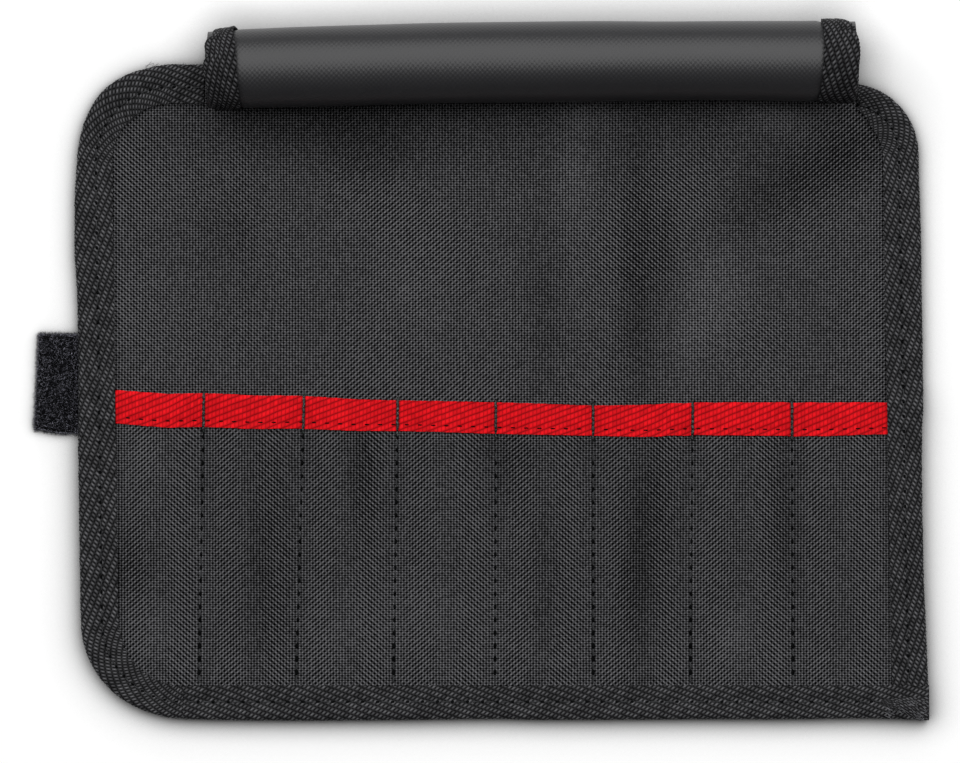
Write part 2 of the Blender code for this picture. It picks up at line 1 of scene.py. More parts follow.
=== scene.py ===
"""Fabric tool roll, lying open and flat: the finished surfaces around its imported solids.

The frame has +X to the right and +Y up the sheet, as the open roll is looked at, and +Z up
from the surface that it lies on, in metres. Shapes are worked out on the flat body plan, whose
origin is the body's bottom left corner, and are moved to the frame when they are finished.
"""

import logging
import math
import random
from bisect import bisect_right
from collections.abc import Callable, Iterable, Sequence
from dataclasses import dataclass, field
from enum import Enum

import bmesh
import bpy
from mathutils import Matrix, Vector, noise


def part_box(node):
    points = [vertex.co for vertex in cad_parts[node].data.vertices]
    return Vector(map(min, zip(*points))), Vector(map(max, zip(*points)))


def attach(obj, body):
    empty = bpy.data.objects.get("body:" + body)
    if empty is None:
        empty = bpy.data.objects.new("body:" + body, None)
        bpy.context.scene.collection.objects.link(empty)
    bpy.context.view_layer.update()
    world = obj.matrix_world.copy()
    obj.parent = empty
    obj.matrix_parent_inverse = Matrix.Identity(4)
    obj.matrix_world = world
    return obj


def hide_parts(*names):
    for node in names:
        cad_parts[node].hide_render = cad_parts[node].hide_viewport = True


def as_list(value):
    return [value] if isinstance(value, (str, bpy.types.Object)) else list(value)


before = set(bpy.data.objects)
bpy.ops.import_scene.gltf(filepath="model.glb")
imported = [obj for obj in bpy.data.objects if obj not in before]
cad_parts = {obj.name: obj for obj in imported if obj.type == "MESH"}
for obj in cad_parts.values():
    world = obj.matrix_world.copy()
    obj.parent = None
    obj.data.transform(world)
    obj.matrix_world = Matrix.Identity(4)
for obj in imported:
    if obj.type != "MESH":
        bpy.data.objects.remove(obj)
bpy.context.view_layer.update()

MM = 0.001
LOG = logging.getLogger("tool_roll")
SHARP_ANGLE = math.radians(50.0)
THREAD_TAPER = 0.35  # a stitch is this much thinner at its ends
PHOTO_WIDTH_PX = 960.0
UP = Vector((0.0, 0.0, 1.0))

Piece = bpy.types.Object
Tree = bpy.types.NodeTree
Node = bpy.types.Node
Socket = bpy.types.NodeSocket
Worked = bmesh.types.BMesh
Stitch = tuple[float, float, float]  # length, thickness and how far the ends dip
Placer = Callable[[float, float, int], Vector]


class Held(Enum):
    LAID = "laid"
    FOLDED = "folded"


class Side(Enum):
    """A side edge of the flap, with the direction across that leads into the cloth."""

    LEFT = 1.0
    RIGHT = -1.0


def ease(share: float) -> float:
    """Go smoothly from 0 to 1 as the share does."""
    share = min(max(share, 0.0), 1.0)
    return share * share * (3.0 - 2.0 * share)


def hump(distance: float, reach: float) -> float:
    """A soft hump of height 1 that fades out over a reach."""
    return math.exp(-(distance / reach) ** 2)


def read_smooth(table: Sequence[tuple[float, ...]], key: float, column: int) -> float:
    """Read one column of a table by the value of its first, on a smooth curve.

    Args:
        table: Rows in the order of their first column.
        key: Value of the first column to read at.
        column: Which column is read.

    Returns:
        The value between the rows, without kinks where the rows meet.
    """
    if key <= table[0][0]:
        return table[0][column]
    if key >= table[-1][0]:
        return table[-1][column]
    low = bisect_right([row[0] for row in table], key) - 1
    rows = [table[max(low - 1, 0)], table[low], table[low + 1],
            table[min(low + 2, len(table) - 1)]]
    run = rows[2][0] - rows[1][0]
    share = (key - rows[1][0]) / run
    rise_in = (rows[2][column] - rows[0][column]) / (rows[2][0] - rows[0][0]) * run
    rise_out = (rows[3][column] - rows[1][column]) / (rows[3][0] - rows[1][0]) * run
    square, cube = share ** 2, share ** 3
    return (
        (2 * cube - 3 * square + 1) * rows[1][column]
        + (cube - 2 * square + share) * rise_in
        + (3 * square - 2 * cube) * rows[2][column]
        + (cube - square) * rise_out
    )


# ---------------------------------------------------------------- flat plan of the body


@dataclass(frozen=True)
class Edge:
    """One straight edge of the body, from its start to its end, body on the left."""

    start: Vector
    end: Vector

    @property
    def along(self) -> Vector:
        """Direction of the edge."""
        return (self.end - self.start).normalized()

    @property
    def inward(self) -> Vector:
        """Direction into the body."""
        return Vector((-self.along.y, self.along.x))

    def depth(self, point: Vector) -> float:
        """Distance of a point from the edge, into the body."""
        return (point - self.start).dot(self.inward)

    def at_height(self, height: float, inset: float = 0.0) -> Vector:
        """Point of the upright edge at a height, moved into the body by the inset."""
        share = (height - self.start.y) / (self.end.y - self.start.y)
        return self.start.lerp(self.end, share) + self.inward * inset

    def at_width(self, across: float, inset: float = 0.0) -> Vector:
        """Point of the level edge at a place across, moved into the body by the inset."""
        share = (across - self.start.x) / (self.end.x - self.start.x)
        return self.start.lerp(self.end, share) + self.inward * inset


class Corner:
    """A rounded corner between two edges of the body."""

    def __init__(self, edge_in: Edge, edge_out: Edge, radius: float) -> None:
        """Find the corner's centre.

        Args:
            edge_in: Edge that leads to the corner.
            edge_out: Edge that leaves it.
            radius: Radius of the outline there.
        """
        self.edge_in = edge_in
        self.edge_out = edge_out
        self.radius = radius
        turn = edge_in.inward + edge_out.inward
        self.centre = edge_in.end + turn / turn.dot(edge_in.inward) * radius

    def stations(self, steps: int) -> list[tuple[Vector, Vector]]:
        """Edge points round the corner, each with its direction into the body.

        Args:
            steps: How many steps the turn is cut in.

        Returns:
            The points, from the edge that leads in to the one that leaves.
        """
        first = math.atan2(-self.edge_in.inward.y, -self.edge_in.inward.x)
        last = math.atan2(-self.edge_out.inward.y, -self.edge_out.inward.x)
        if last < first:
            last += math.tau
        result = []
        for step in range(steps + 1):
            angle = first + (last - first) * step / steps
            outward = Vector((math.cos(angle), math.sin(angle)))
            result.append((self.centre + outward * self.radius, -outward))
        return result

    def holds(self, point: Vector) -> bool:
        """True where a point lies in the corner's own wedge."""
        offset = point - self.centre
        return offset.dot(self.edge_in.inward) < 0.0 and offset.dot(self.edge_out.inward) < 0.0


@dataclass
class BodyPlan:
    """The body's outline, its pockets and the soft lie of its cloth, on the flat plan."""

    width: float = 248.7 * MM
    height: float = 193.4 * MM
    top_fall: float = 6.0 * MM
    left_lean: float = 2.8 * MM
    right_lean: float = 3.2 * MM
    bottom_left_radius: float = 29.7 * MM
    top_left_radius: float = 28.0 * MM
    top_right_radius: float = 21.0 * MM
    tape_face: float = 10.7 * MM  # how far the folded tape reaches in from the edge
    cloth_inset: float = 1.3 * MM  # the cloth's cut edge, inside the tape's fold
    lie: float = 1.3 * MM  # underside of the body's cloth above the floor
    pocket_lie: float = 2.6 * MM  # underside of the pocket cloth
    bare_top: float = 3.6 * MM  # top of the tape beside the bare cloth
    full_top: float = 4.9 * MM  # top of the tape beside the pockets
    climb_run: float = 8.0 * MM  # run in which the tape climbs between the two
    mouth: float = 97.6 * MM  # height of the pocket mouths at the left
    mouth_rise: float = 4.1 * MM  # how far a mouth stands open in its middle
    sag: float = 0.9 * MM  # the cloth settles this far inside the tape
    fold: float = 1.1 * MM  # height of the tallest soft fold
    dent: float = 0.7 * MM  # depth of the deepest dent of the pocket cloth
    sag_start: float = 0.6 * MM
    sag_run: float = 16.0 * MM
    crumple: float = 0.22 * MM  # height of the cloth's small unevenness
    crumple_span: float = 26.0 * MM  # distance between its humps
    patch_centre: tuple[float, float] = (129.0 * MM, 99.7 * MM)
    patch_half: tuple[float, float] = (25.0 * MM, 15.0 * MM)
    patch_run: float = 9.0 * MM
    flap_left: float = 35.8 * MM
    flap_right: float = 227.5 * MM
    # Stitch lines between the pockets: shares of the width at the mouth and at the foot
    stitch_lines: tuple[tuple[float, float], ...] = (
        (0.1423, 0.1355), (0.2610, 0.2501), (0.3719, 0.3659), (0.4877, 0.4865),
        (0.6027, 0.6027), (0.7209, 0.7173), (0.8380, 0.8392),
    )
    # Mouth line: across as a share of the width, height as a share of the mouth's height
    mouth_line: tuple[tuple[float, float], ...] = (
        (0.000, 0.998), (0.041, 0.995), (0.070, 0.989), (0.100, 0.985), (0.142, 0.986),
        (0.211, 0.979), (0.261, 0.977), (0.325, 0.967), (0.372, 0.964), (0.488, 0.958),
        (0.603, 0.949), (0.665, 0.951), (0.720, 0.957), (0.840, 0.958), (1.000, 0.957),
    )
    # Swell of a pocket by its depth under the mouth, as a share of the mouth's rise
    swell: tuple[tuple[float, float], ...] = (
        (0.00, 1.00), (0.20, 0.95), (0.45, 0.74), (0.70, 0.40), (0.88, 0.12), (1.00, 0.00),
    )
    # How full each pocket stands against the others
    fullness: tuple[float, ...] = (0.82, 1.00, 0.94, 0.86, 0.90, 1.04, 0.92, 0.84)
    # Soft folds of the body's cloth, whose crests and hollows also set the cloth's painted shade:
    # across and up in mm, reach and half width in mm, lean in degrees, height as a share of fold
    folds: tuple[tuple[float, ...], ...] = (
        (162.8, 134.4, 36.0, 5.0, 0.0, -1.00), (171.0, 140.2, 16.0, 4.0, 0.0, -0.60),
        (144.6, 161.0, 22.0, 5.0, 0.0, 0.60), (210.7, 159.4, 25.0, 8.5, 62.0, -1.00),
        (185.7, 124.0, 14.0, 9.0, 0.0, 0.75), (178.4, 110.8, 10.0, 4.5, 0.0, 0.50),
        (135.7, 121.0, 24.0, 5.0, 0.0, -0.45), (96.0, 125.5, 14.0, 9.0, 0.0, 0.35),
        (82.8, 166.7, 8.0, 14.0, 0.0, -0.55), (72.0, 177.0, 8.0, 30.0, 0.0, -0.70),
        (203.4, 178.5, 5.0, 12.0, 0.0, 1.20), (150.0, 179.0, 5.0, 9.0, 0.0, 0.80),
        (42.5, 143.2, 12.0, 9.0, 0.0, -0.45), (226.0, 169.0, 8.0, 9.0, 0.0, -0.50),
        (18.0, 119.6, 14.0, 12.0, 0.0, 0.25),
    )
    # Dents and swells of the pocket cloth, in the same way, as shares of dent; they also set its
    # painted shade
    dents: tuple[tuple[float, ...], ...] = (
        (54.3, 50.5, 36.0, 7.5, 0.0, -0.55), (82.8, 72.6, 18.0, 4.5, 0.0, -0.90),
        (124.0, 75.5, 12.0, 7.0, 0.0, -0.50), (168.0, 61.0, 24.0, 5.5, 0.0, -0.80),
        (162.0, 42.0, 28.0, 4.5, 0.0, -0.75), (206.3, 60.0, 24.0, 4.5, 0.0, -0.65),
        (135.7, 42.0, 26.0, 4.0, 0.0, -0.40), (12.2, 45.4, 9.0, 8.0, 0.0, -0.60),
        (21.0, 27.0, 8.0, 8.0, 0.0, 0.50), (191.6, 25.5, 8.0, 8.0, 0.0, 0.60),
        (99.0, 31.4, 10.0, 20.0, 0.0, 0.35), (72.5, 27.0, 8.0, 8.0, 0.0, 0.35),
        (16.6, 77.0, 10.0, 9.0, 0.0, 0.35),
    )
    origin: Vector = field(init=False)

    def __post_init__(self) -> None:
        """Set the edges and corners, and the plan's place in the frame."""
        bottom_left = Vector((0.0, 0.0))
        bottom_right = Vector((self.width, 0.0))
        top_right = Vector((self.width - self.right_lean, self.height - self.top_fall))
        top_left = Vector((-self.left_lean, self.height))
        self.bottom = Edge(bottom_left, bottom_right)
        self.right = Edge(bottom_right, top_right)
        self.top = Edge(top_right, top_left)
        self.left = Edge(top_left, bottom_left)
        self.edges = (self.bottom, self.right, self.top, self.left)
        self.top_right_corner = Corner(self.right, self.top, self.top_right_radius)
        self.top_left_corner = Corner(self.top, self.left, self.top_left_radius)
        self.bottom_left_corner = Corner(self.left, self.bottom, self.bottom_left_radius)
        self.corners = (self.top_right_corner, self.top_left_corner, self.bottom_left_corner)
        low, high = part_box("bottom_binding")
        self.origin = Vector((high.x - self.width, low.y, 0.0))

    def edge_distance(self, point: Vector) -> float:
        """Distance of a point from the body's rounded outline, into the body.

        Args:
            point: A point of the plan.

        Returns:
            The distance.
        """
        for corner in self.corners:
            if corner.holds(point):
                return corner.radius - (point - corner.centre).length
        return min(edge.depth(point) for edge in self.edges)

    def mouth_height(self, across: float) -> float:
        """Height of the pocket mouths above the bottom edge."""
        return self.mouth * read_smooth(self.mouth_line, across / self.width, 1)

    def pocket_line(self, index: int, height: float) -> float:
        """Where the line that bounds a pocket on its left stands across, at a height.

        Args:
            index: Number of the pocket, one past the last for the last line.
            height: Height on the plan.

        Returns:
            The place across.
        """
        if index == 0:
            return self.left.at_height(height, self.tape_face).x
        if index == len(self.stitch_lines) + 1:
            return self.right.at_height(height, self.tape_face).x
        at_mouth, at_foot = self.stitch_lines[index - 1]
        return self.width * (at_foot + (at_mouth - at_foot) * height / self.mouth)

    def pocket_at(self, across: float, height: float) -> tuple[int, float]:
        """The pocket at a point, and how far across it the point lies, from 0 to 1.

        Args:
            across: The point's place across.
            height: Its height on the plan.

        Returns:
            Number of the pocket, and the share.
        """
        for pocket in range(len(self.stitch_lines) + 1):
            left = self.pocket_line(pocket, height)
            right = self.pocket_line(pocket + 1, height)
            if left <= across <= right:
                return pocket, (across - left) / (right - left)
        return 0, 0.0

    def tape_top(self, across: float, height: float) -> float:
        """Height of the tape's upper face, which climbs onto the pocket cloth."""
        share = ease(1.0 - (height - self.mouth_height(across)) / self.climb_run)
        return self.bare_top + (self.full_top - self.bare_top) * share

    def patch_lift(self, point: Vector) -> float:
        """How far the hook patch under the cloth holds it up, as a share of the sag.

        Args:
            point: A point of the plan.

        Returns:
            The share, 1 over the patch.
        """
        beyond_x = abs(point.x - self.patch_centre[0]) - self.patch_half[0]
        beyond_y = abs(point.y - self.patch_centre[1]) - self.patch_half[1]
        beyond = math.hypot(max(beyond_x, 0.0), max(beyond_y, 0.0))
        return 1.0 - ease(beyond / self.patch_run)

    @staticmethod
    def crest(humps: Sequence[tuple[float, ...]], point: Vector) -> float:
        """Height of soft humps at a point, as a share of the tallest.

        Args:
            humps: Rows of the tables above.
            point: A point of the plan.

        Returns:
            The sum of the humps.
        """
        total = 0.0
        for across, up, reach, half, lean, share in humps:
            offset = point / MM - Vector((across, up))
            turn = math.radians(lean)
            along = offset.x * math.sin(turn) + offset.y * math.cos(turn)
            beside = offset.x * math.cos(turn) - offset.y * math.sin(turn)
            total += share * math.exp(-(along / reach) ** 2 - (beside / half) ** 2)
        return total

    def drape(self, point: Vector) -> float:
        """Height of the body's cloth against its level at the tape.

        Args:
            point: A point of the plan.

        Returns:
            The height.
        """
        inside = self.edge_distance(point) - self.tape_face - self.sag_start
        fade = ease(inside / self.sag_run)
        lift = self.patch_lift(point)
        bare = ease((point.y - self.mouth_height(point.x)) / self.sag_run)
        folds = self.fold * self.crest(self.folds, point)
        place = Vector((point.x, point.y, 0.0)) / self.crumple_span
        uneven = self.crumple * noise.fractal(place, 1.0, 2.0, 3)
        folds = max(folds, -(self.lie - self.sag) / 2.0)
        return fade * (-self.sag * (1.0 - lift) + (folds + uneven) * bare * (1.0 - lift))

    def pocket_rise(self, point: Vector) -> float:
        """How far the pocket cloth stands up from the body's cloth.

        Args:
            point: A point of the plan.

        Returns:
            The rise.
        """
        mouth = self.mouth_height(point.x)
        depth = (mouth - point.y) / (mouth - self.tape_face)
        pocket, share = self.pocket_at(point.x, min(point.y, mouth))
        arch = 4.0 * share * (1.0 - share)
        rise = self.mouth_rise * self.fullness[pocket] * read_smooth(self.swell, depth, 1) * arch
        swell = self.dent * self.crest(self.dents, point)
        place = Vector((point.x, point.y, 4.0)) / self.crumple_span
        uneven = 1.6 * self.crumple * noise.fractal(place * 1.7, 1.0, 2.0, 3)
        return max(rise + swell * min(arch * 1.6, 1.0) + uneven * arch, 0.0)


class EdgePath:
    """A run round the body's edge that a tape follows."""

    def __init__(self, stations: Iterable[tuple[Vector, Vector]]) -> None:
        """Keep the stations and how far along each lies.

        Args:
            stations: Edge points, each with its direction into the body.
        """
        self.stations = list(stations)
        self.runs = [0.0]
        for before, after in zip(self.stations, self.stations[1:]):
            self.runs.append(self.runs[-1] + (after[0] - before[0]).length)

    @property
    def length(self) -> float:
        """Length of the whole run."""
        return self.runs[-1]

    def at(self, run: float) -> tuple[Vector, Vector]:
        """Edge point and direction into the body, at a distance along the run.

        Args:
            run: The distance.

        Returns:
            The point and the direction.
        """
        low = min(max(bisect_right(self.runs, run) - 1, 0), len(self.runs) - 2)
        share = (run - self.runs[low]) / (self.runs[low + 1] - self.runs[low])
        share = min(max(share, 0.0), 1.0)
        (base, inward), (next_base, next_inward) = self.stations[low], self.stations[low + 1]
        return base.lerp(next_base, share), inward.lerp(next_inward, share).normalized()


# ---------------------------------------------------------------- finishes


def linear(colour: str) -> tuple[float, float, float, float]:
    """Turn an sRGB hex colour to linear light, with full alpha.

    Args:
        colour: The colour, as #rrggbb.

    Returns:
        Red, green, blue and alpha.
    """
    parts = [int(colour[at:at + 2], 16) / 255.0 for at in (1, 3, 5)]
    lit = [part / 12.92 if part <= 0.04045 else ((part + 0.055) / 1.055) ** 2.4 for part in parts]
    return (*lit, 1.0)


def add_node(tree: Tree, kind: str, inputs: dict | None = None, **settings: object) -> Node:
    """Add a node with its settings and links.

    Args:
        tree: Node tree that takes the node.
        kind: Blender's name for the type of node, without its first word.
        inputs: Values or sockets by the input's name or place.
        **settings: The node's own properties.

    Returns:
        The new node.
    """
    node = tree.nodes.new(f"ShaderNode{kind}")
    for name, value in settings.items():
        setattr(node, name, value)
    for key, value in (inputs or {}).items():
        if isinstance(value, Socket):
            tree.links.new(value, node.inputs[key])
        else:
            node.inputs[key].default_value = value
    return node


def new_material(name: str) -> tuple[bpy.types.Material, Tree, Node]:
    """Start a material.

    Args:
        name: Its name, which says what the real material is.

    Returns:
        The material, its nodes and its shader.
    """
    material = bpy.data.materials.new(name)
    material.use_nodes = True
    return material, material.node_tree, material.node_tree.nodes["Principled BSDF"]


@dataclass(frozen=True)
class Finish:
    """What all finishes share: the slot of the record and the even values of the surface."""

    name: str
    slot: str
    roughness: float
    specular: float = 0.5
    low_shine: float = 1.0  # shine of the low spots as a share of the high ones'
    light: str = "#2a2c30"  # colour of the high spots
    dark: str = "#141518"  # colour of the low spots
    relief_mm: float = 0.06  # how far apart the two lie

    def build(self) -> bpy.types.Material:
        """Make the material.

        Returns:
            The material.
        """
        material, tree, shader = new_material(self.name)
        shader.inputs["Roughness"].default_value = self.roughness
        shader.inputs["Specular IOR Level"].default_value = self.specular
        self.paint(tree, shader)
        return material

    def paint(self, tree: Tree, shader: Node) -> None:
        """Add the nodes of colour and relief."""
        raise NotImplementedError

    def finish(self, tree: Tree, shader: Node, share: Socket, height: Node) -> None:
        """Give the shader its colour, its relief and its shine, which is on the high spots.

        Args:
            tree: The material's nodes.
            shader: Its shader.
            share: How much of the light colour shows against the dark one.
            height: Node whose first output runs from the low to the high spots.
        """
        colour = add_node(tree, "Mix", {0: share, 6: linear(self.dark), 7: linear(self.light)},
                          data_type="RGBA")
        tree.links.new(colour.outputs[2], shader.inputs["Base Color"])
        bump = add_node(tree, "Bump", {"Height": height.outputs[0], "Strength": 1.0,
                                       "Distance": self.relief_mm * MM})
        tree.links.new(bump.outputs["Normal"], shader.inputs["Normal"])
        if self.low_shine < 1.0:
            shine = add_node(tree, "MapRange",
                             {"Value": height.outputs[0], "To Min": self.specular * self.low_shine,
                              "To Max": self.specular})
            tree.links.new(shine.outputs[0], shader.inputs["Specular IOR Level"])


@dataclass(frozen=True)
class PlainWeave(Finish):
    """600 denier polyester in plain weave, read in the frame's own directions.

    Coarse filament yarn goes over one and under one. The floats shine, the holes between them
    are dark. The cloth leans one way or the other where it swells, and there the floats of one
    diagonal are painted lighter, a painted highlight for the light that they catch. Its crests are
    painted lighter and its hollows darker, a painted shade of its folds. Both are read from the
    cloth's own points.
    """

    light: str = "#5c5c5f"
    dark: str = "#030303"
    warp_mm: float = 0.865
    weft_mm: float = 0.72
    relief_mm: float = 0.16
    wander_mm: float = 0.22
    wander_span_mm: float = 9.0
    painted_fold_shade: float = 0.165  # painted shade: how much lighter the crests and darker the hollows are painted
    level: float = -0.27  # tone of the lowest spots
    checker: float = 0.42  # painted highlight: how much lighter the warp's floats are painted where they catch the light
    least_lean: float = 0.28  # the diagonals never quite go
    warp_round: float = 0.66  # roundness of the yarns
    weft_round: float = 0.50
    cell_change: float = 0.18  # how unlike the floats are
    gamma: float = 2.7  # how quickly the yarns' sides darken

    def paint(self, tree: Tree, shader: Node) -> None:
        """Draw the yarns as rounded lines, the floats as a checker of two diagonals with a painted
        highlight, and the folds' painted shade.

        Args:
            tree: The material's nodes.
            shader: Its shader.
        """
        place = add_node(tree, "TexCoord").outputs["Object"]
        wander = add_node(tree, "TexNoise",
                          {"Vector": place, "Scale": 1.0 / (self.wander_span_mm * MM),
                           "Detail": 2.0})
        centred = add_node(tree, "VectorMath",
                           {0: wander.outputs["Color"], 1: (0.5, 0.5, 0.5)}, operation="SUBTRACT")
        moved = add_node(tree, "VectorMath",
                         {0: centred.outputs[0], 1: (self.wander_mm * MM,) * 3, 2: place},
                         operation="MULTIPLY_ADD")
        counts = (1.0 / (self.warp_mm * MM), 1.0 / (self.weft_mm * MM), 0.0)
        yarns = add_node(tree, "VectorMath", {0: moved.outputs[0], 1: counts},
                         operation="MULTIPLY")
        cell = add_node(tree, "VectorMath", {0: yarns.outputs[0]}, operation="FLOOR")
        chance = add_node(tree, "TexWhiteNoise", {"Vector": cell.outputs[0]}, noise_dimensions="2D")
        lean = add_node(tree, "Attribute", attribute_name="lean")
        crest = add_node(tree, "Attribute", attribute_name="crest")
        # painted shade: crests painted lighter and hollows darker, by the height of the folds
        parts = [(crest.outputs["Fac"], self.painted_fold_shade)]
        # painted highlight: the diagonal that the lean picks is painted lighter
        for direction, side in (((math.pi, -math.pi, 0.0), 1.0), ((math.pi, math.pi, 0.0), -1.0)):
            phase = add_node(tree, "VectorMath",
                             {0: yarns.outputs[0], 1: direction}, operation="DOT_PRODUCT")
            wave = add_node(tree, "Math", {0: phase.outputs["Value"]}, operation="COSINE")
            toward = add_node(tree, "Math", {0: lean.outputs["Fac"], 1: side}, operation="MULTIPLY")
            weight = add_node(tree, "Math", {0: toward.outputs[0], 1: self.least_lean},
                              operation="MAXIMUM")
            seen = add_node(tree, "Math", {0: wave.outputs[0], 1: weight.outputs[0]},
                            operation="MULTIPLY")
            parts.append((seen.outputs[0], self.checker))
        for direction, roundness in (((math.pi, 0.0, 0.0), self.warp_round),
                                     ((0.0, math.pi, 0.0), self.weft_round)):
            phase = add_node(tree, "VectorMath",
                             {0: yarns.outputs[0], 1: direction}, operation="DOT_PRODUCT")
            wave = add_node(tree, "Math", {0: phase.outputs["Value"]}, operation="SINE")
            yarn = add_node(tree, "Math", {0: wave.outputs[0]}, operation="ABSOLUTE")
            parts.append((yarn.outputs[0], roundness))
        parts.append((chance.outputs["Value"], self.cell_change))
        tone = self.level
        for value, part in parts:
            tone = add_node(tree, "Math", {0: value, 1: part, 2: tone},
                            operation="MULTIPLY_ADD").outputs[0]
        share = add_node(tree, "Math", {0: tone, 1: 0.0}, operation="ADD", use_clamp=True)
        lit = add_node(tree, "Math", {0: share.outputs[0], 1: self.gamma}, operation="POWER")
        self.finish(tree, shader, lit.outputs[0], lit)


@dataclass(frozen=True)
class CoatedCloth(Finish):
    """The same cloth's outer face under a thin polyurethane coat.

    The coat fills the weave, so the eye sees a satin skin with the threads just showing.
    """

    light: str = "#242426"
    dark: str = "#1e1e20"
    thread_mm: float = 0.72
    cloud_mm: float = 18.0  # from one paler patch to the next
    relief_mm: float = 0.02

    def paint(self, tree: Tree, shader: Node) -> None:
        """Draw the faint lattice of the threads along the cloth's own directions.

        Args:
            tree: The material's nodes.
            shader: Its shader.
        """
        place = add_node(tree, "TexCoord").outputs["UV"]
        turned = add_node(tree, "VectorMath", {0: place, 1: (math.pi / (self.thread_mm * MM),) * 3},
                          operation="MULTIPLY")
        parts = add_node(tree, "SeparateXYZ", {0: turned.outputs[0]})
        across = add_node(tree, "Math", {0: parts.outputs["X"]}, operation="SINE")
        up = add_node(tree, "Math", {0: parts.outputs["Y"]}, operation="SINE")
        over = add_node(tree, "Math", {0: across.outputs[0], 1: up.outputs[0]},
                        operation="MULTIPLY")
        cloud = add_node(tree, "TexNoise",
                         {"Vector": place, "Scale": 1.0 / (self.cloud_mm * MM), "Detail": 4.0})
        self.finish(tree, shader, cloud.outputs["Fac"], over)


@dataclass(frozen=True)
class TwillTape(Finish):
    """Woven polyester tape in a broken twill, read along the tape's own run.

    Its floats lie in slanted ribs, so the eye sees rows of short bright dashes.
    """

    light: str = "#606063"
    dark: str = "#030303"
    dash_step_mm: tuple[float, float] = (1.30, -1.36)  # from one dash to the next in a rib
    rib_step_mm: tuple[float, float] = (1.06, 0.43)  # from one rib to the next
    relief_mm: float = 0.25
    dash_change: float = 0.6
    dash_edge: float = 1.5  # how sharply a dash ends along its rib
    rib_edge: float = 2.3  # how narrow a rib is
    between: float = 0.16  # tone of the weft that shows between the ribs

    def paint(self, tree: Tree, shader: Node) -> None:
        """Draw each dash as a dome on a slanted lattice along and across the tape.

        Args:
            tree: The material's nodes.
            shader: Its shader.
        """
        place = add_node(tree, "TexCoord").outputs["UV"]
        (dash_x, dash_y), (rib_x, rib_y) = self.dash_step_mm, self.rib_step_mm
        cross = (dash_x * rib_y - dash_y * rib_x) * MM
        along = add_node(tree, "VectorMath", {0: place, 1: (rib_y / cross, -rib_x / cross, 0.0)},
                         operation="DOT_PRODUCT")
        beside = add_node(tree, "VectorMath", {0: place, 1: (-dash_y / cross, dash_x / cross, 0.0)},
                          operation="DOT_PRODUCT")
        lattice = add_node(tree, "CombineXYZ",
                           {"X": along.outputs["Value"], "Y": beside.outputs["Value"]})
        cell = add_node(tree, "VectorMath", {0: lattice.outputs[0]}, operation="FLOOR")
        chance = add_node(tree, "TexWhiteNoise", {"Vector": cell.outputs[0]}, noise_dimensions="2D")
        turned = add_node(tree, "VectorMath",
                          {0: lattice.outputs[0], 1: (math.pi,) * 3}, operation="MULTIPLY")
        parts = add_node(tree, "SeparateXYZ", {0: turned.outputs[0]})
        beads = [self.beads(tree, parts, wave) for wave in ("SINE", "COSINE")]
        dome = add_node(tree, "Math",
                        {0: beads[1].outputs[0], 1: self.between, 2: beads[0].outputs[0]},
                        operation="MULTIPLY_ADD")
        mixed = add_node(tree, "Math", {0: chance.outputs["Value"], 1: self.dash_change,
                          2: 1.0 - self.dash_change}, operation="MULTIPLY_ADD")
        share = add_node(tree, "Math", {0: mixed.outputs[0], 1: dome.outputs[0]},
                         operation="MULTIPLY", use_clamp=True)
        self.finish(tree, shader, share.outputs[0], share)

    def beads(self, tree: Tree, parts: Node, wave: str) -> Node:
        """One bead in each cell of the lattice, long along the rib and narrow across it.

        Args:
            tree: The material's nodes.
            parts: Node of the lattice's two directions.
            wave: Which of its two sets of cells.

        Returns:
            Node of the beads' height.
        """
        rounds = []
        for axis, edge in (("X", self.dash_edge), ("Y", self.rib_edge)):
            swing = add_node(tree, "Math", {0: parts.outputs[axis]}, operation=wave)
            flat = add_node(tree, "Math", {0: swing.outputs[0]}, operation="ABSOLUTE")
            rounds.append(add_node(tree, "Math", {0: flat.outputs[0], 1: edge}, operation="POWER"))
        return add_node(tree, "Math",
                        {0: rounds[0].outputs[0], 1: rounds[1].outputs[0]}, operation="MULTIPLY")


@dataclass(frozen=True)
class Fibre(Finish):
    """Spun or moulded fibre: sewing thread, the loop pile and the hooks.

    The single filaments are too fine to show, so the colour only drifts from one to the next.
    """

    drift_mm: float = 1.2
    rare: float = 0.0  # how few of the filaments are light; on the cord and the loop pile these are painted highlights

    def paint(self, tree: Tree, shader: Node) -> None:
        """Let the colour drift over the fibres.

        Args:
            tree: The material's nodes.
            shader: Its shader.
        """
        place = add_node(tree, "TexCoord").outputs["Object"]
        cloud = add_node(tree, "TexNoise",
                         {"Vector": place, "Scale": 1.0 / (self.drift_mm * MM), "Detail": 3.0})
        share = add_node(tree, "MapRange",
                         {"Value": cloud.outputs["Fac"], "From Min": 0.25 + self.rare,
                          "From Max": 0.75})
        self.finish(tree, shader, share.outputs[0], cloud)


